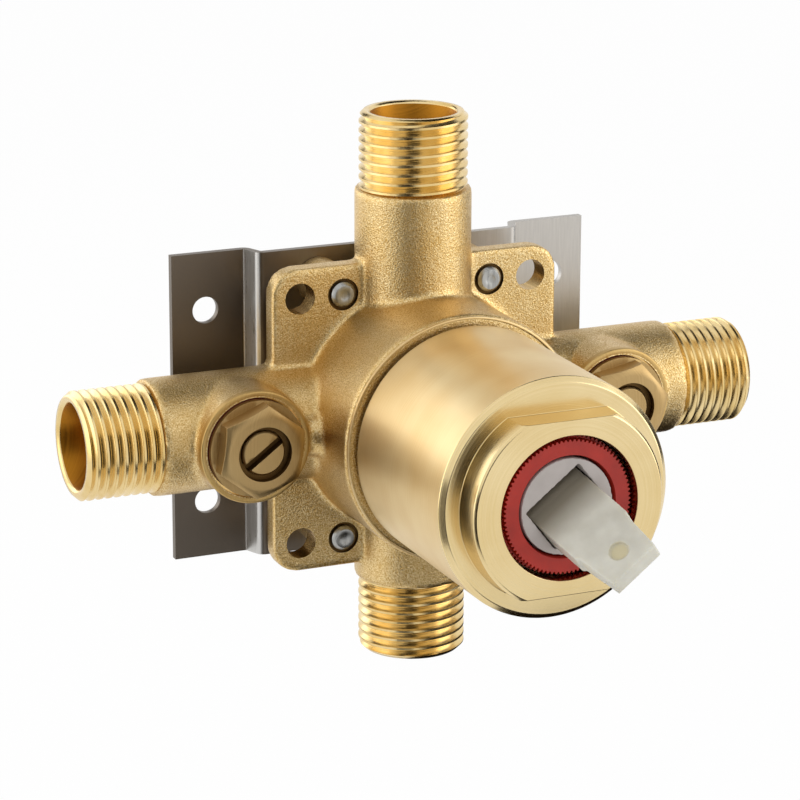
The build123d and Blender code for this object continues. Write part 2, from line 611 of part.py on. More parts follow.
def balance_spool():
    land = SLEEVE_BORE - SPOOL_PLAY
    inner = SPOOL_HALF - SPOOL_END_LAND
    return along_balance([(-SPOOL_HALF, 0), (-SPOOL_HALF, land), (-inner, land), (-inner, SPOOL_WAIST),
                          (-SPOOL_MIDDLE, SPOOL_WAIST), (-SPOOL_MIDDLE, land), (SPOOL_MIDDLE, land),
                          (SPOOL_MIDDLE, SPOOL_WAIST), (inner, SPOOL_WAIST), (inner, land),
                          (SPOOL_HALF, land), (SPOOL_HALF, 0)])


def port_seals():
    """Rubber sleeves that join the body's hot and cold ways to the balance bore."""
    seals = []
    wall = disc(CAVITY_RADIUS - PORT_SEAL_PLAY, FLOOR, BASE_BACK)
    for side in SIDES:
        start, end = side * (SLEEVE_HALF + PORT_SEAL_PLAY), side * CAVITY_RADIUS
        tube = rod(SLEEVE_RADIUS, (start, -BALANCE_DEPTH, 0), (end, -BALANCE_DEPTH, 0))
        tube -= rod(PORT_SEAL_BORE, (start, -BALANCE_DEPTH, 0), (end, -BALANCE_DEPTH, 0))
        seals.append((tube & wall).solid())
    return Compound(seals)


def gland(x, turn):
    """Hex gland nut with a round flange, screwed into the stop's boss."""
    base = GLAND_BASE + GLAND_WASHER
    shoulder = base + GLAND_FLANGE
    nut = disc(STOP_CHAMBER_RADIUS - GLAND_PLAY, GLAND_BACK, base, x)
    nut += disc(GLAND_FLANGE_RADIUS, base, shoulder, x)
    hexagon = Rot(0, 0, turn) * RegularPolygon(GLAND_FLATS / 2, HEX_SIDES, major_radius=False)
    head = extrude(front(shoulder, x) * hexagon, amount=GLAND_FRONT - shoulder)
    reach = GLAND_FLATS / 2 / cos(radians(180 / HEX_SIDES))
    slope = (reach - GLAND_FLATS / 2 + GLAND_CHAMFER) * tan(radians(HEX_SLOPE))
    head &= turned([(shoulder, 0), (shoulder, reach), (GLAND_FRONT - slope, reach),
                    (GLAND_FRONT, GLAND_FLATS / 2 - GLAND_CHAMFER), (GLAND_FRONT, 0)], x)
    nut += head
    nut -= disc(STEM_RADIUS + STEM_PLAY, GLAND_BACK, GLAND_FRONT, x)
    return nut - disc(GLAND_MOUTH_RADIUS, GLAND_FRONT - GLAND_MOUTH, GLAND_FRONT, x)


def gland_washer(x):
    inner = STOP_CHAMBER_RADIUS + GLAND_PLAY
    back, ahead = GLAND_BASE, GLAND_BASE + GLAND_WASHER
    return disc(GLAND_FLANGE_RADIUS, back, ahead, x) - disc(inner, back, ahead, x)


def stem_ring_radius():
    return STEM_RADIUS + STEM_PLAY / 2 - STEM_RING_SECTION


def stop_stem(x, turn):
    """Screwdriver stem with a seal groove and a stub for the seat washer."""
    floor = stem_ring_radius() - STEM_RING_SECTION
    wide = STEM_RING_SECTION + GROOVE_PLAY
    stem = turned([(GLAND_BACK - STEM_STUB, 0), (GLAND_BACK - STEM_STUB, STEM_STUB_RADIUS),
                   (GLAND_BACK, STEM_STUB_RADIUS), (GLAND_BACK, STEM_RADIUS),
                   (STEM_RING_DEPTH - wide, STEM_RADIUS), (STEM_RING_DEPTH - wide, floor),
                   (STEM_RING_DEPTH + wide, floor), (STEM_RING_DEPTH + wide, STEM_RADIUS),
                   (STEM_FRONT - STEM_EDGE, STEM_RADIUS), (STEM_FRONT, STEM_RADIUS - STEM_EDGE),
                   (STEM_FRONT, 0)], x)
    slot = Rot(0, 0, turn) * Rectangle(GLAND_MOUTH_RADIUS * 2, STEM_SLOT_WIDTH)
    return stem - extrude(front(STEM_FRONT - STEM_SLOT_DEPTH, x) * slot, amount=STEM_SLOT_DEPTH)


def stop_washer(x):
    """Rubber seat washer that the stem's stub presses on the seat."""
    ahead = GLAND_BACK - WASHER_PLAY
    washer = disc(STOP_WASHER_RADIUS, ahead - STOP_WASHER, ahead, x)
    return washer - disc(STEM_STUB_RADIUS + WASHER_PLAY, GLAND_BACK - STEM_STUB - WASHER_PLAY, ahead, x)


def pieces():
    """Every node of the valve by name."""
    yield "valve_body", valve_body()
    yield "bracket", bracket()
    yield "bracket_screws", Compound([bracket_screw(x, z) for x, z in corners(SCREW_X, EAR_HOLE_Z)])
    yield "bonnet", bonnet()
    yield "bonnet_gasket", bonnet_gasket()
    yield "cartridge_shell", cartridge_shell()
    yield "cartridge_base", cartridge_base()
    yield "fixed_disc", fixed_disc()
    yield "moving_disc", moving_disc()
    yield "disc_carrier", disc_carrier()
    yield "temperature_collar", temperature_collar()
    yield "temperature_limit_ring", temperature_limit_ring()
    yield "lever_pin", pin_bar(PIN_RADIUS, PIN_LENGTH)
    yield "lever", lever()
    yield "balance_housing", balance_housing()
    yield "balance_sleeve", balance_sleeve()
    yield "balance_spool", balance_spool()
    yield "sleeve_seals", sleeve_seals()
    yield "port_seals", port_seals()
    yield "base_seals", base_seals()
    yield "floor_seal", floor_seal()
    stops = (("hot", -STOP_X, HOT_SLOT_TURN, HOT_HEX_TURN),
             ("cold", STOP_X, COLD_SLOT_TURN, COLD_HEX_TURN))
    for water, x, slot_turn, hex_turn in stops:
        yield f"{water}_gland", gland(x, hex_turn)
        yield f"{water}_gland_washer", gland_washer(x)
        yield f"{water}_stop_stem", stop_stem(x, slot_turn)
        yield f"{water}_stem_seal", ring(STEM_RING_SECTION, stem_ring_radius(), STEM_RING_DEPTH, x)
        yield f"{water}_stop_washer", stop_washer(x)


os.makedirs("parts", exist_ok=True)
for name, piece in pieces():
    export_step(place(piece), f"parts/{name}.step")
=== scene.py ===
"""Pressure balance rough-in valve: sand cast brass body with threaded pipe ends, a folded steel
wall bracket, a satin turned bonnet, a red limit ring and a moulded lever.

Sizes are in millimetres about the crossing of the four pipe axes, with depth towards the front.
spot() turns them into the frame's metres."""
import json
from math import cos, pi, radians, sin, tan

import bpy
from mathutils import Matrix, Vector


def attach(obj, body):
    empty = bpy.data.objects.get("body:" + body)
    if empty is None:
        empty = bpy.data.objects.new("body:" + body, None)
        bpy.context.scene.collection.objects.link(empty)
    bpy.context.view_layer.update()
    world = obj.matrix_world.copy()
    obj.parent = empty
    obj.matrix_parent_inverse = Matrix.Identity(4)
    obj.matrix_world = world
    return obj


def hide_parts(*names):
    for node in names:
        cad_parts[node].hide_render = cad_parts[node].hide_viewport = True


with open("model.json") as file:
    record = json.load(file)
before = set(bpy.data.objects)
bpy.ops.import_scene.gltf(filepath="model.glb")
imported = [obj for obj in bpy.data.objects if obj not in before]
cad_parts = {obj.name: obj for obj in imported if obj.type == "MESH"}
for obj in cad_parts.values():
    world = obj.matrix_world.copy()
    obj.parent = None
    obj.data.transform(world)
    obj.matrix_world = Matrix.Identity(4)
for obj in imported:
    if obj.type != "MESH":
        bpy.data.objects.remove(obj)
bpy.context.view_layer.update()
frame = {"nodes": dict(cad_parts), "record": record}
nodes = frame["nodes"]

MM = 0.001
FRONT = Vector((0, -1, 0))
RIGHT = Vector((1, 0, 0))
UP = Vector((0, 0, 1))
SIDES = (-1, 1)

# Work of the tools
PAST = 1.0                  # a cutter's run past the face it leaves
WELD = 0.001                # points this close are one
ROUND = 96                  # facets round a common bar, bore or turned piece
EDGE_ANGLE = 32.0           # faces that meet at more than this get a broken edge
SMOOTH_ANGLE = 34.0
CAST_ANGLE = 40.0
THREAD_ANGLE = 50.0
TOOTH_ANGLE = 25.0

# Body
PIPE_TO_WALL = 16.9
INLET_REACH = 70.0
SHOWER_REACH = 59.0
TUB_REACH = 49.2
THREAD_RADIUS = 10.5
THREAD_LENGTH = 15.0
THREAD_CHAMFER = 0.9
THREAD_PITCH = 1.814        # half inch pipe, 14 to the inch
THREAD_DEPTH = 0.9
THREAD_CREST = 0.42
THREAD_ROOTED = 0.6         # threaded end's hold inside the cast neck
THREAD_MOUTH = 0.5          # chamfer of the bore
THREAD_STEPS = 120          # facets in one turn
THREAD_SPARE = 3            # turns of the thread tool beyond the thread
CREST_CLEAR = 0.5           # thread tool's height over the crests
CREST_LAND = 0.02
CREST_BREAK = 0.1
ROOT_HALF = 0.12
ROOT_RISE = 0.08
PORT_RADIUS = 8.2
PORT_DEPTH = 19.0
NECK_RADIUS = 11.3
CORE_RADIUS = 6.0
BARREL_RADIUS = 24.5
BARREL_BACK = 4.0
COLLAR_RADIUS = 24.1
COLLAR_BAND = 0.3           # turned band left in front of the cast skin
COLLAR_WIDTH = 2.2
COLLAR_RIM = 0.45
COLLAR_GROOVE = 0.9
COLLAR_FRONT = 25.0
COLLAR_ROOTED = 1.0         # band's hold inside the spigot
COLLAR_EDGE = 0.12
COLLAR_STEPS = 160
SPIGOT_RADIUS = 20.3
SPIGOT_FRONT = 39.5
CAVITY_RADIUS = 18.0
CAVITY_FLOOR = 8.2
EAR_WIDTH = 59.8
EAR_HEIGHT = 60.6
EAR_CORNER = 5.0
EAR_FRONT = 2.0
EAR_THICKNESS = 4.5
EAR_HOLE_RADIUS = 3.05
EAR_HOLE_X = 24.3
EAR_HOLE_Z = 24.55
SCREW_X = 15.4
SCREW_BOSS_RADIUS = 4.6
SCREW_BOSS_BACK = -11.4
CAST_VOXEL = 0.55
CAST_SOFTENING = 9          # smoothing passes that round the mould's corners

# Stops
STOP_X = 38.2
STOP_BOSS_RADIUS = 11.0
STOP_RIM = 14.0
STOP_RIM_DEPTH = 1.8
STOP_RIM_EDGE = 0.35
STOP_RECESS_RADIUS = 9.8
STOP_RECESS = 1.0
STOP_CHAMBER_RADIUS = 7.0
STOP_SEAT = 2.2
SEAT_RADIUS = 3.6
FEED_RADIUS = 4.6
FEED_DEPTH = -4.5
BRIDGE_OUTSIDE = 4.1
BRIDGE_START = 3.0
BRIDGE_END = 14.0
GLAND_SHOULDER = 14.8
GLAND_BASE = 13.8
GLAND_BACK = 9.5
GLAND_FLANGE_RADIUS = 9.4
GLAND_FLATS = 15.8
GLAND_FRONT = 18.9
GLAND_CHAMFER = 1.1
GLAND_SHANK_RADIUS = 6.9
GLAND_BORE_RADIUS = 4.4
GLAND_MOUTH_RADIUS = 5.3
GLAND_MOUTH = 1.5
GLAND_OVERLAP = 0.3         # hex sunk in the flange, so that the two run together
GLAND_EDGE = 0.18
HEX_SLOPE = 30.0
STEM_RADIUS = 4.3
STEM_FRONT = 18.3
STEM_CHAMFER = 0.4
STEM_EDGE = 0.12
STEM_STEPS = 72
STEM_STUB_RADIUS = 2.0
STEM_STUB_BACK = 7.6
STEM_GROOVE_BACK = 14.3
STEM_GROOVE_FRONT = 15.7
STEM_GROOVE_RADIUS = 3.25
STEM_SLOT_WIDTH = 1.6
STEM_SLOT_DEPTH = 1.8
STOPS = (("hot", -STOP_X, 36.0, 22.0), ("cold", STOP_X, -45.0, 10.5))   # slot and hex turns, degrees

# Bracket and its screws
SHEET = 1.5
SHEET_EDGE = 0.14
BRACKET_WIDTH = 88.0
BRACKET_HEIGHT = 61.6
WING_FOLD_X = 28.6
FOLD_MARGIN = 1.0
RISER_RUN = 1.6
RISER_FACE = 5.0            # square millimetres, less than a riser's face and more than an edge's
WEB_STAND_OFF = 4.0
BEND_SETBACK = 0.7          # bend's start from the fold
WING_HOLE_X = 37.1
WING_HOLE_Z = 19.4
WING_HOLE_RADIUS = 2.65
WING_HOLE_STEPS = 64
WEB_HOLE_RADIUS = 2.75
SCREW_RADIUS = 2.5
SCREW_CLEARANCE = 0.05
SCREW_RELIEF = 0.65         # gap round each tip, its faces darkened with painted shade
SCREW_RELIEF_DEPTH = 0.6
SCREW_TIP = 2.8
SCREW_TIP_CHAMFER = 0.6
SCREW_TIP_PIT_RADIUS = 0.9
SCREW_TIP_PIT = 0.35
SCREW_HEAD_RADIUS = 4.2
SCREW_HEAD_SEAT = -12.9
SCREW_HEAD_BACK = -15.5
SCREW_HEAD_DOME = ((0.0, 2.6), (0.5, 3.7), (1.3, SCREW_HEAD_RADIUS))    # from the back, radius
SCREW_EDGE = 0.1
SCREW_STEPS = 48            # also for the small holes
DRIVE_LENGTH = 4.6
DRIVE_WIDTH = 1.2
DRIVE_DEPTH = 1.5

# Bonnet and limit ring
BONNET_RADIUS = 22.8
BONNET_BACK = 25.9
BONNET_BACK_CHAMFER = 0.5
BONNET_FRONT = 64.2
BONNET_FRONT_CHAMFER = 1.0
BONNET_THREAD_RADIUS = 20.45
BONNET_SHOULDER = 60.0
BONNET_RUNOUT = 40.0
BONNET_EDGE = 0.3
BONNET_STEPS = 192
FACING = 1.5                # faced finish's start behind the bonnet's front
BOSS_RADIUS = 19.1
BOSS_FRONT = 70.0
BOSS_CHAMFER = 0.5
BOSS_FLATS = 32.8
BOSS_DRAFT = 0.3
BOSS_HOLE_RADIUS = 13.55
RING_BACK = 65.0
RING_FRONT = 69.0
RING_RADIUS = 13.1
RING_TOOTH = 0.4
RING_TEETH = 90
RING_BORE = 9.3
RING_STEPS = 128
RING_BEVEL = 0.55           # knurled bevel at the rim
RING_BEVEL_DEPTH = 1.6
RING_FLARE = 0.35           # flare of the bore
RING_FLARE_DEPTH = 1.6

# Lever and temperature collar
PIVOT_DEPTH = 64.95
LEVER_LEAN = -52.0          # way the lever leans, seen from the front, degrees
LEVER_TILT = 22.0
LEVER_VOXEL = 0.22
LEVER_SOFTENING = 3
DIMPLE_AT = 18.2
DIMPLE_RISE = 0.9           # dimple's floor above the lever's middle
DIMPLE_RADIUS = 1.8
DIMPLE_FADE = (1.15, 0.75)  # mark's edge and full tone, in radii
LEVER_SHADE_FROM = 3.0           # painted shade on the lever's root by the slot, fading out along the lever from here
LEVER_SHADE_TO = 9.0
TURNER_VOXEL = 0.28
TURNER_SOFTENING = 2


def spot(x, depth, z):
    """Point of the frame, in metres."""
    return Vector((x, -(depth + PIPE_TO_WALL), z)) * MM


CROSSING = spot(0, 0, 0)


def lever_point(along, rise):
    """Point of the lever at rest, along it from the pin and up from its middle."""
    lean, tilt = radians(LEVER_LEAN), radians(LEVER_TILT)
    side = RIGHT * cos(lean) + UP * sin(lean)
    length = FRONT * cos(tilt) + side * sin(tilt)
    upper = FRONT * sin(tilt) - side * cos(tilt)
    return spot(0, PIVOT_DEPTH, 0) + (length * along + upper * rise) * MM


def corners(x, z):
    return [(side * x, end * z) for side in SIDES for end in SIDES]


def oblong(length, width):
    """Outline of a slot about its middle."""
    end, side = length / 2, width / 2
    return [(-end, -side), (end, -side), (end, side), (-end, side)]


def pick(piece):
    """Select one piece alone, so that an operator acts on nothing else."""
    bpy.ops.object.select_all(action="DESELECT")
    piece.select_set(True)
    bpy.context.view_layer.objects.active = piece


def newest(name):
    piece = bpy.context.object
    piece.name = name
    return piece


def seal(piece):
    """Merge doubled points and turn the faces outwards."""
    pick(piece)
    bpy.ops.object.mode_set(mode="EDIT")
    bpy.ops.mesh.select_all(action="SELECT")
    bpy.ops.mesh.remove_doubles(threshold=WELD * MM)
    bpy.ops.mesh.normals_make_consistent(inside=False)
    bpy.ops.object.mode_set(mode="OBJECT")
    return piece


def apply(piece, kind, **settings):
    """Add a modifier and apply it at once."""
    pick(piece)
    modifier = piece.modifiers.new(kind.lower(), kind)
    for name, value in settings.items():
        setattr(modifier, name, value)
    bpy.ops.object.modifier_apply(modifier=modifier.name)
    return piece


def coat(piece, *finishes):
    for finish in finishes:
        piece.data.materials.append(finish)
    return piece


def break_edges(piece, width, segments=2):
    """Small rounded edges where faces meet at an angle."""
    return apply(piece, "BEVEL", width=width * MM, segments=segments, limit_method="ANGLE",
                 angle_limit=radians(EDGE_ANGLE), use_clamp_overlap=True)


def smooth(piece, angle=SMOOTH_ANGLE):
    pick(piece)
    bpy.ops.object.shade_smooth_by_angle(angle=radians(angle))
    return piece


def crisp(piece):
    """Machined look: broken edges catch the light while the faces between them stay flat."""
    smooth(piece)
    return apply(piece, "WEIGHTED_NORMAL", weight=100, keep_sharp=True)


def soften(piece, voxel, passes):
    """Run a piece's solids together and round its corners as a mould leaves them."""
    apply(piece, "REMESH", mode="VOXEL", voxel_size=voxel * MM)
    return apply(piece, "SMOOTH", factor=0.5, iterations=passes)


def cut(piece, tool, operation="DIFFERENCE"):
    """Boolean with a tool that is thrown away; its faces keep the tool's material."""
    apply(piece, "BOOLEAN", object=tool, operation=operation, solver="MANIFOLD", material_mode="TRANSFER")
    bpy.data.objects.remove(tool)
    return piece


def join(name, *members):
    bpy.ops.object.select_all(action="DESELECT")
    for member in members:
        member.select_set(True)
    bpy.context.view_layer.objects.active = members[0]
    bpy.ops.object.join()
    return newest(name)


def loop(name, points, fill="NOTHING"):
    """Closed loop of points of the frame, bent out of a circle."""
    bpy.ops.object.select_all(action="DESELECT")
    bpy.ops.mesh.primitive_circle_add(vertices=len(points), radius=MM, fill_type=fill)
    piece = newest(name)
    for vertex, point in zip(piece.data.vertices, points):
        vertex.co = point
    return piece


def turned(name, outline, centre, axis=FRONT, steps=ROUND):
    """Lathe work: a closed outline of (along the axis, radius) points, spun about the axis."""
    out = axis.orthogonal().normalized()
    piece = loop(name, [centre + (axis * along + out * radius) * MM for along, radius in outline])
    bpy.ops.object.mode_set(mode="EDIT")
    bpy.ops.mesh.select_all(action="SELECT")
    bpy.ops.mesh.spin(steps=steps, angle=2 * pi, center=centre, axis=axis)
    bpy.ops.object.mode_set(mode="OBJECT")
    return seal(piece)


def prism(name, outline, start, reach, across=RIGHT, along=UP):
    """Flat outline of points across and along, extruded towards the front from its start."""
    piece = loop(name, [start + (across * right + along * up) * MM for right, up in outline], "NGON")
    bpy.ops.object.mode_set(mode="EDIT")
    bpy.ops.mesh.select_all(action="SELECT")
    bpy.ops.mesh.extrude_region_move(TRANSFORM_OT_translate={"value": FRONT * reach * MM})
    bpy.ops.object.mode_set(mode="OBJECT")
    return seal(piece)


def bar(radius, start, end, steps=ROUND):
    """Round bar between two points of the frame, a start for the casting or a drill."""
    way = end - start
    bpy.ops.object.select_all(action="DESELECT")
    bpy.ops.mesh.primitive_cylinder_add(vertices=steps, radius=radius * MM, depth=way.length,
                                        location=(start + end) / 2,
                                        rotation=way.to_track_quat("Z", "Y").to_euler())
    bpy.ops.object.transform_apply(location=True, rotation=True, scale=True)
    return newest("bar")


def drill(piece, radius, start, end, finish, steps=ROUND):
    return cut(piece, coat(bar(radius, start, end, steps), finish))


def linear(code):
    """sRGB hex colour as linear RGBA."""
    channels = [int(code[i:i + 2], 16) / 255 for i in (1, 3, 5)]
    return [c / 12.92 if c <= 0.04045 else ((c + 0.055) / 1.055) ** 2.4 for c in channels] + [1.0]


def add(tree, kind, inputs=None, **settings):
    """One node with its settings, its input values and its links."""
    made = tree.nodes.new(kind)
    for name, value in settings.items():
        setattr(made, name, value)
    for socket, value in (inputs or {}).items():
        if isinstance(value, bpy.types.NodeSocket):
            tree.links.new(value, made.inputs[socket])
        else:
            made.inputs[socket].default_value = value
    return made


def begin_material(name):
    material = bpy.data.materials.new(name)
    material.use_nodes = True
    material.node_tree.nodes.clear()
    return material, material.node_tree


def begin_finish(name):
    """Material with its tree and the place on the piece that its patterns follow."""
    material, tree = begin_material(name)
    return material, tree, add(tree, "ShaderNodeTexCoord").outputs["Object"]


def close_finish(tree, surface):
    shader = add(tree, "ShaderNodeBsdfPrincipled", surface)
    add(tree, "ShaderNodeOutputMaterial", {"Surface": shader.outputs["BSDF"]})


def per_mm(size):
    """Noise scale in the frame's metres for features of a size in millimetres."""
    return 1.0 / (size * MM)


def noise(tree, place, size, detail=2.0, roughness=0.5):
    """Cloud of values with features of a size in millimetres."""
    return add(tree, "ShaderNodeTexNoise", {"Vector": place, "Scale": per_mm(size), "Detail": detail,
                                            "Roughness": roughness}).outputs["Fac"]


def ramp(tree, value, deep, pale, low=0.3, high=0.7):
    """Colour that runs from deep to pale as the value rises."""
    made = add(tree, "ShaderNodeValToRGB", {"Fac": value})
    first, last = made.color_ramp.elements
    first.position, first.color = low, linear(deep)
    last.position, last.color = high, linear(pale)
    return made.outputs["Color"]


def spread(tree, value, start, end, low=0.3, high=0.7):
    """A value between low and high, stretched to run from start to end."""
    return add(tree, "ShaderNodeMapRange", {"Value": value, "From Min": low, "From Max": high,
                                            "To Min": start, "To Max": end}).outputs["Result"]


def lay(tree, share, under, shade):
    """A shade laid over a colour by a share."""
    return add(tree, "ShaderNodeMix", {0: share, 6: under, 7: linear(shade)}, data_type="RGBA").outputs[2]


def varied(tree, value, middle, swing):
    """A measure that swings about its middle as the value does."""
    return spread(tree, value, middle - swing, middle + swing)


def relief(tree, height, strength, depth):
    """Normals that follow a height, with a depth in millimetres."""
    return add(tree, "ShaderNodeBump", {"Height": height, "Strength": strength,
                                        "Distance": depth * MM}).outputs["Normal"]


def weighed(tree, first, weight, second):
    """Sum of two values, the first of them weighed."""
    return add(tree, "ShaderNodeMath", {0: first, 1: weight, 2: second},
               operation="MULTIPLY_ADD").outputs["Value"]


def sand_cast_brass():
    """Yellow brass as it leaves a sand mould: fine grains, small pits and a matt glint."""
    material, tree, place = begin_finish("sand_cast_brass")
    grain = noise(tree, place, 0.24)
    lumps = noise(tree, place, 5.0)
    pits = add(tree, "ShaderNodeTexVoronoi", {"Vector": place, "Scale": per_mm(0.45)})
    tint = ramp(tree, grain, "#B48C46", "#EED8A6", 0.32, 0.66)
    colour = lay(tree, spread(tree, lumps, 0.0, 0.35), tint, "#D0A85C")
    height = weighed(tree, pits.outputs["Distance"], 0.5, grain)
    close_finish(tree, {"Base Color": colour, "Metallic": 1.0, "Roughness": spread(tree, grain, 0.44, 0.28),
                        "Normal": relief(tree, height, 0.85, 0.10)})
    return material


def lathe_brass(name, pale, deep, roughness, line, depth):
    """Turned brass: rings of tool marks round the valve's axis, fine enough to blur the gloss."""
    material, tree, place = begin_finish(name)
    apart = add(tree, "ShaderNodeSeparateXYZ", {"Vector": place})
    flat = add(tree, "ShaderNodeCombineXYZ", {"X": apart.outputs["X"], "Y": apart.outputs["Z"]})
    radius = add(tree, "ShaderNodeVectorMath", {0: flat.outputs["Vector"]}, operation="LENGTH")
    run = add(tree, "ShaderNodeMath", {0: radius.outputs["Value"], 1: apart.outputs["Y"]})
    marks = add(tree, "ShaderNodeTexNoise", {"W": run.outputs["Value"], "Scale": per_mm(line), "Detail": 3.0,
                                             "Roughness": 0.65}, noise_dimensions="1D").outputs["Fac"]
    both = weighed(tree, marks, 0.6, noise(tree, place, 14.0))
    close_finish(tree, {"Base Color": ramp(tree, both, deep, pale, 0.55, 1.0), "Metallic": 1.0,
                        "Roughness": varied(tree, marks, roughness, 0.05),
                        "Normal": relief(tree, marks, 0.5, depth)})
    return material


def thread_brass():
    """Brass just cut by a die: bright flanks with faint chatter and a slight cloud of colour."""
    material, tree, place = begin_finish("die_cut_brass")
    chatter = noise(tree, place, 2.0)
    close_finish(tree, {"Base Color": ramp(tree, noise(tree, place, 6.0), "#E0C07C", "#EED6A0"),
                        "Metallic": 1.0, "Roughness": spread(tree, chatter, 0.20, 0.26),
                        "Normal": relief(tree, chatter, 0.12, 0.01)})
    return material


def sheet_metal(name, pale, deep, roughness, streak, side_shade=None):
    """Rolled or plated steel: long faint streaks up the sheet and, where given, a painted shade
    that darkens it towards one side."""
    material, tree, place = begin_finish(name)
    long = add(tree, "ShaderNodeMapping", {"Vector": place, "Scale": (1.0, 1.0, 0.06)})
    streaks = noise(tree, long.outputs["Vector"], streak, 4.0, 0.65)
    colour = ramp(tree, streaks, deep, pale)
    if side_shade:
        # painted shade: the colour darkens across the sheet towards one side
        shade, start, end = side_shade
        across = add(tree, "ShaderNodeSeparateXYZ", {"Vector": place}).outputs["X"]
        colour = lay(tree, spread(tree, across, 1.0, 0.0, start * MM, end * MM), colour, shade)
    close_finish(tree, {"Base Color": colour, "Metallic": 1.0,
                        "Roughness": varied(tree, streaks, roughness, 0.04)})
    return material


def moulded(name, pale, deep, roughness, grain, depth, clear=0.0, glow="#FFFFFF", mark=None, root_shade=None):
    """Injection moulded part: faint mould grain, a slight cloud of colour, soft gloss and, where
    given, the mark of a gate at a point and a painted shade that fades out between two points."""
    material, tree, place = begin_finish(name)
    speck = noise(tree, place, grain)
    colour = ramp(tree, noise(tree, place, 4.0, 3.0), deep, pale)
    if mark:
        centre, radius, shade = mark
        away = add(tree, "ShaderNodeVectorMath", {0: place, 1: centre}, operation="DISTANCE")
        edge, full = (share * radius * MM for share in DIMPLE_FADE)
        colour = lay(tree, spread(tree, away.outputs["Value"], 0.0, 1.0, edge, full), colour, shade)
    # painted shade: the colour is darkest at the root point and fades out by the end point
    if root_shade:
        root, shade_end, shade = root_shade
        from_root = add(tree, "ShaderNodeVectorMath", {0: place, 1: root}, operation="SUBTRACT")
        along = add(tree, "ShaderNodeVectorMath", {0: from_root.outputs["Vector"], 1: shade_end - root},
                    operation="DOT_PRODUCT")
        left = spread(tree, along.outputs["Value"], 1.0, 0.0, 0.0, (shade_end - root).length_squared)
        colour = lay(tree, left, colour, shade)
    close_finish(tree, {"Base Color": colour, "IOR": 1.5,
                        "Roughness": varied(tree, speck, roughness, 0.06),
                        "Normal": relief(tree, speck, 0.4, depth), "Subsurface Weight": clear,
                        "Subsurface Radius": linear(glow)[:3], "Subsurface Scale": 2.0 * MM})
    return material


CAST = sand_cast_brass()
SATIN = lathe_brass("satin_turned_brass", "#F0D9A8", "#E2C288", 0.42, 0.30, 0.008)
FACED = lathe_brass("faced_brass", "#ECD6A4", "#E0C68E", 0.22, 0.40, 0.004)
MACHINED = lathe_brass("bright_machined_brass", "#F2D294", "#D9AE62", 0.22, 0.45, 0.012)
SPOTFACED = lathe_brass("spot_faced_cast_brass", "#D2B478", "#BC985A", 0.45, 0.40, 0.012)
THREADED = thread_brass()
FITTING = lathe_brass("turned_fitting_brass", "#BFA270", "#A88A5A", 0.40, 0.35, 0.006)
# dull brass for the pipe bores and their mouths, darkened with painted shade
PAINTED_BORE_SHADE = lathe_brass("bore_shade_painted_brass", "#B87C26", "#94621A", 0.42, 0.6, 0.010)
# painted shade: dark brass for the gland mouths, stem slots, the collar groove and the gaps round the screw
# tips
PAINTED_RECESS_SHADE = lathe_brass("recess_shade_painted_brass", "#6E5430", "#4E3A20", 0.5, 0.4, 0.010)
# painted shade: the bracket steel darkens towards its left wing
STEEL = sheet_metal("rolled_bracket_steel", "#C2BEB8", "#B6B2AC", 0.40, 0.35, ("#756C62", -30.0, 28.0))
BENT = sheet_metal("press_burnished_steel", "#CCCAC6", "#BEBCB8", 0.30, 0.35)
ZINC = sheet_metal("zinc_plated_steel", "#B8B8B4", "#90908E", 0.30, 0.5)
GROUND = sheet_metal("ground_stainless_steel", "#D8D8D6", "#B4B4B2", 0.22, 0.3)
RED = moulded("red_acetal", "#B02412", "#9A1C0C", 0.45, 0.5, 0.02, 0.05, "#FF6040")
GREY = moulded("grey_acetal", "#B8B0AB", "#ACA49F", 0.46, 0.5, 0.02)
NYLON = moulded("natural_nylon", "#D8D6CA", "#C9C6B9", 0.38, 0.6, 0.02, 0.35, "#FFF0D0",
                (lever_point(DIMPLE_AT, DIMPLE_RISE), DIMPLE_RADIUS, "#D0C6A2"),
                # painted shade on the lever's root by the slot, fading out along the lever
                (lever_point(LEVER_SHADE_FROM, 0), lever_point(LEVER_SHADE_TO, 0), "#8A8272"))
WHITE = moulded("white_acetal", "#E4E2DA", "#D6D3CA", 0.4, 0.5, 0.02, 0.1, "#FFFFFF")
CERAMIC = moulded("lapped_alumina", "#ECEBE6", "#E0DFD8", 0.18, 0.3, 0.004)
RUBBER = moulded("nitrile_rubber", "#2A2A2A", "#1C1C1C", 0.62, 0.4, 0.02)
FIBRE = moulded("pressed_fibre", "#8A4438", "#6E3228", 0.75, 0.4, 0.05)

SLOT_FINISH = {"cast_brass": CAST, "satin_brass": SATIN, "turned_brass": FITTING, "bracket_steel": STEEL,
               "screw_steel": ZINC, "pin_steel": GROUND, "spool_steel": GROUND, "red_plastic": RED,
               "grey_plastic": GREY, "nylon": NYLON, "white_plastic": WHITE, "ceramic": CERAMIC,
               "black_rubber": RUBBER, "fibre": FIBRE}
for entry in frame["record"]["subparts"]:
    finishes = nodes[entry["node"]].data.materials
    finishes.clear()
    finishes.append(SLOT_FINISH[entry["material_slot"]])


def dress(piece, body, slot, *replaced):
    """A finished piece rides on its body and stands for its solids."""
    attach(piece, body)
    if replaced:
        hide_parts(*replaced)
    return piece


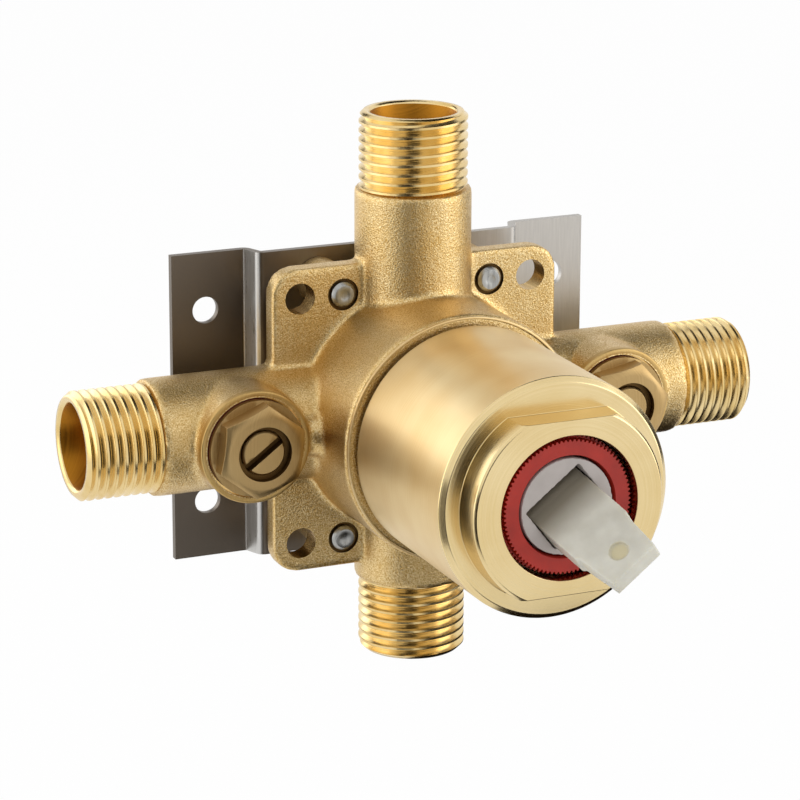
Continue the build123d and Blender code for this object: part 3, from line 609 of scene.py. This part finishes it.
def ear_plate():
    """Flat plate of the four ears with rounded corners."""
    bpy.ops.object.select_all(action="DESELECT")
    bpy.ops.mesh.primitive_cube_add(size=MM, location=spot(0, EAR_FRONT - EAR_THICKNESS / 2, 0),
                                    scale=(EAR_WIDTH, EAR_THICKNESS, EAR_HEIGHT))
    bpy.ops.object.transform_apply(location=True, rotation=True, scale=True)
    plate = newest("ear_plate")
    bpy.ops.object.mode_set(mode="EDIT")
    bpy.ops.mesh.select_mode(type="EDGE")
    bpy.ops.mesh.select_all(action="DESELECT")
    bpy.ops.object.mode_set(mode="OBJECT")
    for edge in plate.data.edges:
        ends = [plate.data.vertices[i].co for i in edge.vertices]
        edge.select = abs(ends[0].y - ends[1].y) > MM
    bpy.ops.object.mode_set(mode="EDIT")
    bpy.ops.mesh.bevel(offset=EAR_CORNER * MM, segments=8)
    bpy.ops.object.mode_set(mode="OBJECT")
    return plate


def cast_limbs():
    """Barrel, necks, spigot, ears and bosses, still apart."""
    neck = INLET_REACH - THREAD_LENGTH
    limbs = [bar(BARREL_RADIUS, spot(0, -BARREL_BACK, 0), spot(0, COLLAR_FRONT - COLLAR_BAND, 0)),
             bar(NECK_RADIUS, spot(-neck, 0, 0), spot(neck, 0, 0)),
             bar(NECK_RADIUS, spot(0, 0, THREAD_LENGTH - TUB_REACH),
                 spot(0, 0, SHOWER_REACH - THREAD_LENGTH)),
             bar(SPIGOT_RADIUS, CROSSING, spot(0, SPIGOT_FRONT, 0)), ear_plate()]
    for x, z in corners(SCREW_X, EAR_HOLE_Z):
        limbs.append(bar(SCREW_BOSS_RADIUS, spot(x, SCREW_BOSS_BACK, z), spot(x, 0, z)))
    for side in SIDES:
        stop = side * STOP_X
        limbs.append(bar(STOP_BOSS_RADIUS, spot(stop, 0, 0), spot(stop, STOP_RIM, 0)))
        limbs.append(bar(BRIDGE_OUTSIDE, spot(stop, BRIDGE_START, 0),
                         spot(side * CAVITY_RADIUS, BRIDGE_END, 0)))
    return limbs


def cast_body():
    """Limbs run together as one casting, then bored and drilled."""
    body = soften(join("cast_body", *cast_limbs()), CAST_VOXEL, CAST_SOFTENING)
    coat(body, CAST)
    drill(body, CAVITY_RADIUS, spot(0, CAVITY_FLOOR, 0), spot(0, SPIGOT_FRONT + PAST, 0), MACHINED)
    drill(body, CORE_RADIUS, spot(0, 0, -TUB_REACH), spot(0, 0, SHOWER_REACH), CAST)
    # the bores' faces take the painted shade
    drill(body, PORT_RADIUS, spot(0, 0, SHOWER_REACH - PORT_DEPTH), spot(0, 0, SHOWER_REACH), PAINTED_BORE_SHADE)
    drill(body, PORT_RADIUS, spot(0, 0, PORT_DEPTH - TUB_REACH), spot(0, 0, -TUB_REACH), PAINTED_BORE_SHADE)
    for side in SIDES:
        stop, inner = side * STOP_X, side * (INLET_REACH - PORT_DEPTH)
        past_rim = spot(stop, STOP_RIM + PAST, 0)
        # the bore's faces take the painted shade
        drill(body, PORT_RADIUS, spot(inner, 0, 0), spot(side * INLET_REACH, 0, 0), PAINTED_BORE_SHADE)
        drill(body, FEED_RADIUS, spot(stop, FEED_DEPTH, 0), spot(inner + side * PAST, FEED_DEPTH, 0), CAST)
        drill(body, SEAT_RADIUS, spot(stop, FEED_DEPTH, 0), spot(stop, STOP_SEAT + PAST, 0), MACHINED)
        drill(body, STOP_CHAMBER_RADIUS, spot(stop, STOP_SEAT, 0), past_rim, MACHINED)
        drill(body, STOP_RECESS_RADIUS, spot(stop, STOP_RIM - STOP_RECESS, 0), past_rim, MACHINED)
    ear_past = EAR_FRONT + PAST
    for x, z in corners(EAR_HOLE_X, EAR_HOLE_Z):
        drill(body, EAR_HOLE_RADIUS, spot(x, -EAR_THICKNESS, z), spot(x, ear_past, z), MACHINED, SCREW_STEPS)
    for x, z in corners(SCREW_X, EAR_HOLE_Z):
        drill(body, SCREW_RADIUS + SCREW_CLEARANCE, spot(x, SCREW_BOSS_BACK - PAST, z), spot(x, ear_past, z),
              CAST, SCREW_STEPS)
        # relief round each screw tip, its faces in painted shade
        drill(body, SCREW_RADIUS + SCREW_RELIEF, spot(x, EAR_FRONT - SCREW_RELIEF_DEPTH, z),
              spot(x, ear_past, z), PAINTED_RECESS_SHADE, SCREW_STEPS)
    smooth(body, CAST_ANGLE)
    return dress(body, "valve", "cast_brass", "valve_body")


def body_collar():
    """Turned band of the casting behind the bonnet, with a groove inside its thin rim whose faces are
    darkened with painted shade.
    """
    back, floor = COLLAR_FRONT - COLLAR_WIDTH, COLLAR_FRONT - COLLAR_GROOVE
    bore, rim = SPIGOT_RADIUS - COLLAR_ROOTED, COLLAR_RADIUS - COLLAR_RIM
    band = turned("body_collar", [(back, bore), (back, COLLAR_RADIUS), (COLLAR_FRONT, COLLAR_RADIUS),
                                  (COLLAR_FRONT, rim), (floor, rim), (floor, bore)], CROSSING,
                  steps=COLLAR_STEPS)
    coat(band, SATIN, PAINTED_RECESS_SHADE)
    # the groove's faces take the painted shade
    for face in band.data.polygons:
        middle = face.center - CROSSING
        if middle.xz.length < (rim + COLLAR_RIM / 4) * MM:
            face.material_index = 1
    crisp(break_edges(band, COLLAR_EDGE))
    return dress(band, "valve", "cast_brass")


def stop_rim(water, x):
    """Faced rim of a stop's boss."""
    back = STOP_RIM - STOP_RIM_DEPTH
    rim = turned(f"{water}_stop_rim", [(back, STOP_RECESS_RADIUS), (back, STOP_BOSS_RADIUS),
                                       (STOP_RIM, STOP_BOSS_RADIUS), (STOP_RIM, STOP_RECESS_RADIUS)],
                 spot(x, 0, 0))
    coat(rim, SPOTFACED)
    crisp(break_edges(rim, STOP_RIM_EDGE, segments=3))
    return dress(rim, "valve", "cast_brass")


def thread_tool(start):
    """Helical cutter about the Z axis, from a pitch before the thread's start to past its mouth."""
    half = (THREAD_PITCH - THREAD_CREST) / 2
    root, land = THREAD_RADIUS - THREAD_DEPTH, THREAD_RADIUS - CREST_LAND
    groove = [(-half, THREAD_RADIUS + CREST_CLEAR), (half, THREAD_RADIUS + CREST_CLEAR), (half, land),
              (half - CREST_BREAK, land - CREST_BREAK), (ROOT_HALF, root + ROOT_RISE), (0, root),
              (-ROOT_HALF, root + ROOT_RISE), (CREST_BREAK - half, land - CREST_BREAK), (-half, land)]
    tool = loop("thread_tool", [Vector((radius, 0, along + start - THREAD_PITCH)) * MM
                                for along, radius in groove])
    turns = int((THREAD_LENGTH + THREAD_ROOTED) / THREAD_PITCH) + THREAD_SPARE
    apply(tool, "SCREW", axis="Z", angle=2 * pi, screw_offset=THREAD_PITCH * MM, iterations=turns,
          steps=THREAD_STEPS, render_steps=THREAD_STEPS)
    pick(tool)
    bpy.ops.object.mode_set(mode="EDIT")
    bpy.ops.mesh.select_all(action="SELECT")
    bpy.ops.mesh.remove_doubles(threshold=WELD * MM)
    bpy.ops.mesh.fill_holes(sides=0)
    bpy.ops.mesh.select_all(action="SELECT")
    bpy.ops.mesh.normals_make_consistent(inside=False)
    bpy.ops.object.mode_set(mode="OBJECT")
    return coat(tool, THREADED)


def threaded_end():
    """One machined pipe end along +Z with its mouth at the origin."""
    back = -THREAD_LENGTH - THREAD_ROOTED
    end = turned("pipe_thread", [(back, PORT_RADIUS), (back, THREAD_RADIUS), (-THREAD_CHAMFER, THREAD_RADIUS),
                                 (0, THREAD_RADIUS - THREAD_CHAMFER), (0, PORT_RADIUS + THREAD_MOUTH),
                                 (-THREAD_MOUTH, PORT_RADIUS)], Vector((0, 0, 0)), UP, THREAD_STEPS)
    coat(end, THREADED, PAINTED_BORE_SHADE)
    # the mouth's faces take the painted shade of the bore
    for face in end.data.polygons:
        if face.center.xy.length < (PORT_RADIUS + THREAD_MOUTH / 4) * MM:
            face.material_index = 1
    return smooth(cut(end, thread_tool(back)), THREAD_ANGLE)


def pipe_threads():
    """The modelled end, copied to each of the four pipes."""
    first = threaded_end()
    for water, way, reach in (("hot", -RIGHT, INLET_REACH), ("cold", RIGHT, INLET_REACH),
                              ("shower", UP, SHOWER_REACH), ("tub", -UP, TUB_REACH)):
        pick(first)
        bpy.ops.object.duplicate()
        thread = newest(f"{water}_pipe_thread")
        turn = way.to_track_quat("Z", "Y").to_matrix().to_4x4()
        thread.matrix_world = Matrix.Translation(CROSSING + way * reach * MM) @ turn
        bpy.ops.object.transform_apply(location=True, rotation=True, scale=True)
        dress(thread, "valve", "cast_brass")
    bpy.data.objects.remove(first)


def bonnet():
    """Turned cap with two wrench flats on its boss."""
    top = BOSS_RADIUS - BOSS_DRAFT
    cap = turned("turned_bonnet", [
        (BONNET_BACK, BONNET_THREAD_RADIUS), (BONNET_BACK, BONNET_RADIUS - BONNET_BACK_CHAMFER),
        (BONNET_BACK + BONNET_BACK_CHAMFER, BONNET_RADIUS),
        (BONNET_FRONT - BONNET_FRONT_CHAMFER, BONNET_RADIUS),
        (BONNET_FRONT, BONNET_RADIUS - BONNET_FRONT_CHAMFER), (BONNET_FRONT, BOSS_RADIUS),
        (BOSS_FRONT - BOSS_CHAMFER, top), (BOSS_FRONT, top - BOSS_CHAMFER),
        (BOSS_FRONT, BOSS_HOLE_RADIUS), (BONNET_SHOULDER, BOSS_HOLE_RADIUS),
        (BONNET_SHOULDER, CAVITY_RADIUS), (BONNET_RUNOUT, CAVITY_RADIUS),
        (BONNET_RUNOUT, BONNET_THREAD_RADIUS)], CROSSING, steps=BONNET_STEPS)
    coat(cap, SATIN)
    wide = BOSS_RADIUS + PAST
    for side in SIDES:
        flat = [(-wide, side * BOSS_FLATS / 2), (wide, side * BOSS_FLATS / 2), (wide, side * wide),
                (-wide, side * wide)]
        waste = prism("flat_tool", flat, spot(0, BONNET_FRONT, 0), BOSS_FRONT - BONNET_FRONT + PAST)
        cut(cap, coat(waste, SATIN))
    break_edges(cap, BONNET_EDGE, segments=3)
    coat(cap, FACED)
    front = spot(0, BONNET_FRONT - FACING, 0).y
    for face in cap.data.polygons:
        if face.center.y < front:
            face.material_index = 1
    crisp(cap)
    return dress(cap, "valve", "satin_brass", "bonnet")


def gland(water, x, turn):
    """Hex gland with a round flange and a coned face."""
    flat, axis = GLAND_FLATS / 2, spot(x, 0, 0)
    reach = flat / cos(pi / 6)
    steep = tan(radians(HEX_SLOPE))
    slope = (reach - flat + GLAND_CHAMFER) * steep
    turns = [radians(turn + 60 * k) for k in range(6)]
    head = prism(f"{water}_hex_gland", [(x + reach * cos(angle), reach * sin(angle)) for angle in turns],
                 spot(0, GLAND_SHOULDER - GLAND_OVERLAP, 0), GLAND_FRONT - GLAND_SHOULDER + GLAND_OVERLAP)
    wide = reach + PAST
    cone = turned("cone_tool", [(GLAND_BASE, 0), (GLAND_BASE, wide),
                                (GLAND_FRONT - slope - steep * PAST, wide),
                                (GLAND_FRONT, flat - GLAND_CHAMFER), (GLAND_FRONT, 0)], axis)
    cut(head, cone, "INTERSECT")
    flange = turned("flange", [(GLAND_BACK, 0), (GLAND_BACK, GLAND_SHANK_RADIUS),
                               (GLAND_BASE, GLAND_SHANK_RADIUS), (GLAND_BASE, GLAND_FLANGE_RADIUS),
                               (GLAND_SHOULDER, GLAND_FLANGE_RADIUS), (GLAND_SHOULDER, 0)], axis)
    cut(head, flange, "UNION")
    head.data.materials.clear()
    coat(head, FITTING)
    past_front = spot(x, GLAND_FRONT + PAST, 0)
    drill(head, GLAND_BORE_RADIUS, spot(x, GLAND_BACK - PAST, 0), past_front, FITTING)
    # the gland's mouth is coloured with painted shade
    drill(head, GLAND_MOUTH_RADIUS, spot(x, GLAND_FRONT - GLAND_MOUTH, 0), past_front, PAINTED_RECESS_SHADE)
    crisp(break_edges(head, GLAND_EDGE))
    return dress(head, "valve", "turned_brass", f"{water}_gland")


def stop_stem(water, x, turn):
    """Screwdriver stem with its slot."""
    stem = turned(f"{water}_slotted_stem", [
        (STEM_STUB_BACK, 0), (STEM_STUB_BACK, STEM_STUB_RADIUS), (GLAND_BACK, STEM_STUB_RADIUS),
        (GLAND_BACK, STEM_RADIUS), (STEM_GROOVE_BACK, STEM_RADIUS), (STEM_GROOVE_BACK, STEM_GROOVE_RADIUS),
        (STEM_GROOVE_FRONT, STEM_GROOVE_RADIUS), (STEM_GROOVE_FRONT, STEM_RADIUS),
        (STEM_FRONT - STEM_CHAMFER, STEM_RADIUS), (STEM_FRONT, STEM_RADIUS - STEM_CHAMFER),
        (STEM_FRONT, 0)], spot(x, 0, 0), steps=STEM_STEPS)
    coat(stem, FITTING)
    along = Vector((cos(radians(turn)), 0, sin(radians(turn))))
    across = Vector((-along.z, 0, along.x))
    slot = prism("slot_tool", oblong(2 * GLAND_MOUTH_RADIUS, STEM_SLOT_WIDTH),
                 spot(x, STEM_FRONT - STEM_SLOT_DEPTH, 0), STEM_SLOT_DEPTH + PAST, along, across)
    # the slot's faces are coloured with painted shade
    cut(stem, coat(slot, PAINTED_RECESS_SHADE))
    crisp(break_edges(stem, STEM_EDGE))
    return dress(stem, f"{water}_stop_stem", "turned_brass", f"{water}_stop_stem")


def bracket():
    """Hat section: the strip's edge is drawn, extruded upwards and given its thickness."""
    wing, web = PIPE_TO_WALL - SHEET / 2, PIPE_TO_WALL - SHEET / 2 - WEB_STAND_OFF
    line = [(-BRACKET_WIDTH / 2, wing), (-WING_FOLD_X, wing), (RISER_RUN - WING_FOLD_X, web),
            (WING_FOLD_X - RISER_RUN, web), (WING_FOLD_X, wing), (BRACKET_WIDTH / 2, wing)]
    folds_end = (WING_FOLD_X + FOLD_MARGIN) * MM
    bpy.ops.object.select_all(action="DESELECT")
    bpy.ops.mesh.primitive_grid_add(x_subdivisions=len(line) - 1, y_subdivisions=1, size=MM)
    sheet = newest("folded_bracket")
    ordered = sorted(sheet.data.vertices, key=lambda vertex: (round(vertex.co.y / MM, 3), vertex.co.x))
    for index, vertex in enumerate(ordered):
        x, back = line[index % len(line)]
        height = BRACKET_HEIGHT / 2 if index >= len(line) else -BRACKET_HEIGHT / 2
        vertex.co = spot(x, -back, height)
    for edge in sheet.data.edges:
        ends = [sheet.data.vertices[i].co for i in edge.vertices]
        upright = abs(ends[0].z - ends[1].z) > MM
        edge.select = upright and abs(ends[0].x) < folds_end
    bpy.ops.object.mode_set(mode="EDIT")
    bpy.ops.mesh.select_mode(type="EDGE")
    bpy.ops.mesh.bevel(offset=BEND_SETBACK * MM, segments=5)
    bpy.ops.object.mode_set(mode="OBJECT")
    apply(sheet, "SOLIDIFY", thickness=SHEET * MM, offset=0.0, use_even_offset=True)
    coat(seal(sheet), STEEL)
    behind = -PIPE_TO_WALL - PAST
    for x, z in corners(WING_HOLE_X, WING_HOLE_Z):
        drill(sheet, WING_HOLE_RADIUS, spot(x, behind, z), spot(x, -WEB_STAND_OFF, z), STEEL,
              WING_HOLE_STEPS)
    for x, z in corners(SCREW_X, EAR_HOLE_Z):
        drill(sheet, WEB_HOLE_RADIUS, spot(x, behind, z), spot(x, -WEB_STAND_OFF, z), STEEL, SCREW_STEPS)
    break_edges(sheet, SHEET_EDGE)
    coat(sheet, BENT)
    for face in sheet.data.polygons:
        sideways = abs(face.normal.x) > 0.5 and abs(face.center.x) < folds_end
        if sideways and face.area > RISER_FACE * MM * MM:
            face.material_index = 1
    crisp(sheet)
    return dress(sheet, "valve", "bracket_steel", "bracket")


def bracket_screws():
    """Pan head screws driven from behind; the tips show in the ears."""
    dome = [(SCREW_HEAD_BACK + rise, radius) for rise, radius in SCREW_HEAD_DOME]
    outline = [(SCREW_HEAD_BACK, 0), *dome, (SCREW_HEAD_SEAT, SCREW_HEAD_RADIUS),
               (SCREW_HEAD_SEAT, SCREW_RADIUS), (SCREW_TIP - SCREW_TIP_CHAMFER, SCREW_RADIUS),
               (SCREW_TIP, SCREW_RADIUS - SCREW_TIP_CHAMFER), (SCREW_TIP, SCREW_TIP_PIT_RADIUS),
               (SCREW_TIP - SCREW_TIP_PIT, 0)]
    screws = []
    for x, z in corners(SCREW_X, EAR_HOLE_Z):
        screw = coat(turned("bracket_screw", outline, spot(x, 0, z), steps=SCREW_STEPS), ZINC)
        for along, across in ((RIGHT, UP), (UP, -RIGHT)):
            tool = prism("drive_tool", oblong(DRIVE_LENGTH, DRIVE_WIDTH), spot(x, SCREW_HEAD_BACK - PAST, z),
                         DRIVE_DEPTH + PAST, along, across)
            cut(screw, coat(tool, ZINC))
        screws.append(break_edges(screw, SCREW_EDGE))
    rack = crisp(join("pan_head_screws", *screws))
    return dress(rack, "valve", "screw_steel", "bracket_screws")


def limit_ring():
    """Toothed ring: a star outline, extruded, drawn in to a knurled bevel, then bored and flared."""
    points = []
    root = RING_RADIUS - RING_TOOTH
    for tooth in range(RING_TEETH):
        for share, reach in ((0.0, RING_RADIUS), (0.3, RING_RADIUS), (0.5, root), (0.8, root)):
            turn = 2 * pi * (tooth + share) / RING_TEETH
            points.append((reach * cos(turn), reach * sin(turn)))
    shoulder = RING_FRONT - RING_BEVEL_DEPTH
    ring = prism("toothed_limit_ring", points, spot(0, RING_BACK, 0), shoulder - RING_BACK)
    for face in ring.data.polygons:
        face.select = face.normal.dot(FRONT) > 0.9
    pick(ring)
    bpy.ops.object.mode_set(mode="EDIT")
    bpy.ops.mesh.select_mode(type="FACE")
    bpy.ops.mesh.extrude_region_move(TRANSFORM_OT_translate={"value": FRONT * RING_BEVEL_DEPTH * MM})
    drawn = 1 - RING_BEVEL / RING_RADIUS
    bpy.ops.transform.resize(value=(drawn, 1, drawn), center_override=spot(0, RING_FRONT, 0))
    bpy.ops.object.mode_set(mode="OBJECT")
    coat(seal(ring), RED)
    past_front = RING_FRONT + PAST
    drill(ring, RING_BORE, spot(0, RING_BACK - PAST, 0), spot(0, past_front, 0), RED, RING_STEPS)
    narrow, mouth = RING_FRONT - RING_FLARE_DEPTH, RING_BORE + RING_FLARE
    flare = turned("flare_tool", [(narrow, 0), (narrow, RING_BORE), (RING_FRONT, mouth), (past_front, mouth),
                                  (past_front, 0)], CROSSING, steps=RING_STEPS)
    smooth(cut(ring, coat(flare, RED)), TOOTH_ANGLE)
    return dress(ring, "valve", "red_plastic", "temperature_limit_ring")


def soft_copy(name, node, voxel, passes):
    """Moulded copy of a solid, its corners rounded as a mould leaves them."""
    pick(nodes[node])
    bpy.ops.object.duplicate()
    piece = newest(name)
    piece.parent = None
    for key in list(piece.keys()):
        del piece[key]
    return smooth(soften(seal(piece), voxel, passes), CAST_ANGLE)


cast_body()
body_collar()
pipe_threads()
bonnet()
for water, x, slot_turn, hex_turn in STOPS:
    stop_rim(water, x)
    gland(water, x, hex_turn)
    stop_stem(water, x, slot_turn)
bracket()
bracket_screws()
limit_ring()
dress(soft_copy("moulded_lever", "lever", LEVER_VOXEL, LEVER_SOFTENING), "lever", "nylon", "lever")
dress(soft_copy("moulded_collar", "temperature_collar", TURNER_VOXEL, TURNER_SOFTENING),
      "temperature_collar", "grey_plastic", "temperature_collar")


# Camera solved from the photograph's edges, 800 pixels across
VIEW_AZIMUTH = 23.64
VIEW_ELEVATION = 16.45
VIEW_ROLL = 0.22
VIEW_DISTANCE = 694.0
FOCAL_PIXELS = 3545.59
PICTURE_PIXELS = 800
CROSSING_RIGHT = 12.0       # pixels from the picture's middle to the pipe crossing
CROSSING_DOWN = 5.67
SENSOR = 36.0

# Studio
FLOOR_DROP = 140.0          # floor under the pipe crossing
FLOOR_SIZE = 6000.0
FLOOR_GLOW = 0.95           # share of the floor that shines for camera and gloss
SKY_ON_MATT = 0.8
SKY_SEEN = 1.0
AIM_DEPTH = 20.0            # lamps and flags face this point in front of the pipe crossing
LAMPS = (("left_softbox", (-690, -120, 60), 700, 1.5),                  # place, size, watts
         ("right_softbox", (620, 380, 160), 560, 1.6),
         ("back_softbox", (-330, -620, 140), 420, 0.62))
FLAGS = (("camera_flag", (-366, 822, 0), (500, 1100)),                  # place, width and height
         ("front_flag", (-135, 175, -58), (140, 150)),
         ("ceiling_flag", (190, -90, 460), (420, 420)),
         ("floor_flag", (45, 32, -90), (260, 105)),
         ("right_flag", (690, -120, -120), (300, 600)),
         ("back_flag", (-35, -615, 332), (170, 200)))


def photograph_camera():
    turn, rise, roll = radians(VIEW_AZIMUTH), radians(VIEW_ELEVATION), radians(VIEW_ROLL)
    back = Vector((-sin(turn) * cos(rise), -cos(turn) * cos(rise), sin(rise)))
    level = (-back).cross(UP).normalized()
    upright = level.cross(-back)
    right = cos(roll) * level + sin(roll) * upright
    up = cos(roll) * upright - sin(roll) * level
    distance = VIEW_DISTANCE * MM
    position = CROSSING + back * distance
    position += (up * CROSSING_DOWN - right * CROSSING_RIGHT) * distance / FOCAL_PIXELS
    lens = bpy.data.cameras.new("photograph_camera")
    lens.sensor_width = SENSOR
    lens.lens = FOCAL_PIXELS / PICTURE_PIXELS * SENSOR
    lens.clip_start = 0.01
    camera = bpy.data.objects.new("photograph_camera", lens)
    camera.matrix_world = Matrix.Translation(position) @ Matrix((right, up, back)).transposed().to_4x4()
    bpy.context.scene.collection.objects.link(camera)
    bpy.context.scene.camera = camera


def higher(tree, first, second):
    return add(tree, "ShaderNodeMath", {0: first, 1: second}, operation="MAXIMUM").outputs["Value"]


def white_surround():
    """World that is pure white to camera and gloss, and a little weaker as light."""
    world = bpy.data.worlds.new("studio")
    bpy.context.scene.world = world
    world.use_nodes = True
    tree = world.node_tree
    tree.nodes.clear()
    path = add(tree, "ShaderNodeLightPath").outputs
    seen = higher(tree, path["Is Camera Ray"], path["Is Glossy Ray"])
    seen = higher(tree, seen, path["Is Transmission Ray"])
    sky = add(tree, "ShaderNodeBackground", {"Color": linear("#FFFFFF"),
                                             "Strength": spread(tree, seen, SKY_ON_MATT, SKY_SEEN, 0.0, 1.0)})
    add(tree, "ShaderNodeOutputWorld", {"Surface": sky.outputs["Background"]})


def paper_floor():
    """Pale floor far below, as white as the surround where it is seen."""
    bpy.ops.object.select_all(action="DESELECT")
    bpy.ops.mesh.primitive_plane_add(size=FLOOR_SIZE * MM, location=spot(0, 0, -FLOOR_DROP))
    floor = newest("studio_floor")
    material, tree = begin_material("white_studio_paper")
    path = add(tree, "ShaderNodeLightPath").outputs
    seen = higher(tree, path["Is Camera Ray"], path["Is Glossy Ray"])
    paper = add(tree, "ShaderNodeBsdfDiffuse", {"Color": linear("#F2F2F2")})
    lit = add(tree, "ShaderNodeEmission", {"Color": linear("#FFFFFF"), "Strength": 1.0})
    share = add(tree, "ShaderNodeMath", {0: seen, 1: FLOOR_GLOW}, operation="MULTIPLY")
    blend = add(tree, "ShaderNodeMixShader", {0: share.outputs["Value"], 1: paper.outputs["BSDF"],
                                              2: lit.outputs["Emission"]})
    add(tree, "ShaderNodeOutputMaterial", {"Surface": blend.outputs["Shader"]})
    coat(floor, material)


def face_valve(thing):
    thing.rotation_euler = (thing.location - spot(0, AIM_DEPTH, 0)).to_track_quat("Z", "Y").to_euler()


def lamps_and_flags():
    """Large soft lamps, and black felt that only the gloss of the brass sees."""
    for name, place, size, power in LAMPS:
        lamp = bpy.data.lights.new(name, "AREA")
        lamp.energy, lamp.size = power, size * MM
        light = bpy.data.objects.new(name, lamp)
        light.location = spot(*place)
        face_valve(light)
        bpy.context.scene.collection.objects.link(light)
    felt, tree = begin_material("black_studio_felt")
    cloth = add(tree, "ShaderNodeBsdfDiffuse", {"Color": linear("#1A1510")})
    add(tree, "ShaderNodeOutputMaterial", {"Surface": cloth.outputs["BSDF"]})
    for name, place, size in FLAGS:
        bpy.ops.object.select_all(action="DESELECT")
        bpy.ops.mesh.primitive_plane_add(size=MM, location=spot(*place))
        flag = newest(name)
        flag.scale = (*size, 1)
        face_valve(flag)
        flag.visible_camera = flag.visible_shadow = flag.visible_diffuse = False
        coat(flag, felt)


photograph_camera()
white_surround()
paper_floor()
lamps_and_flags()
bpy.context.scene.view_settings.view_transform = "Standard"
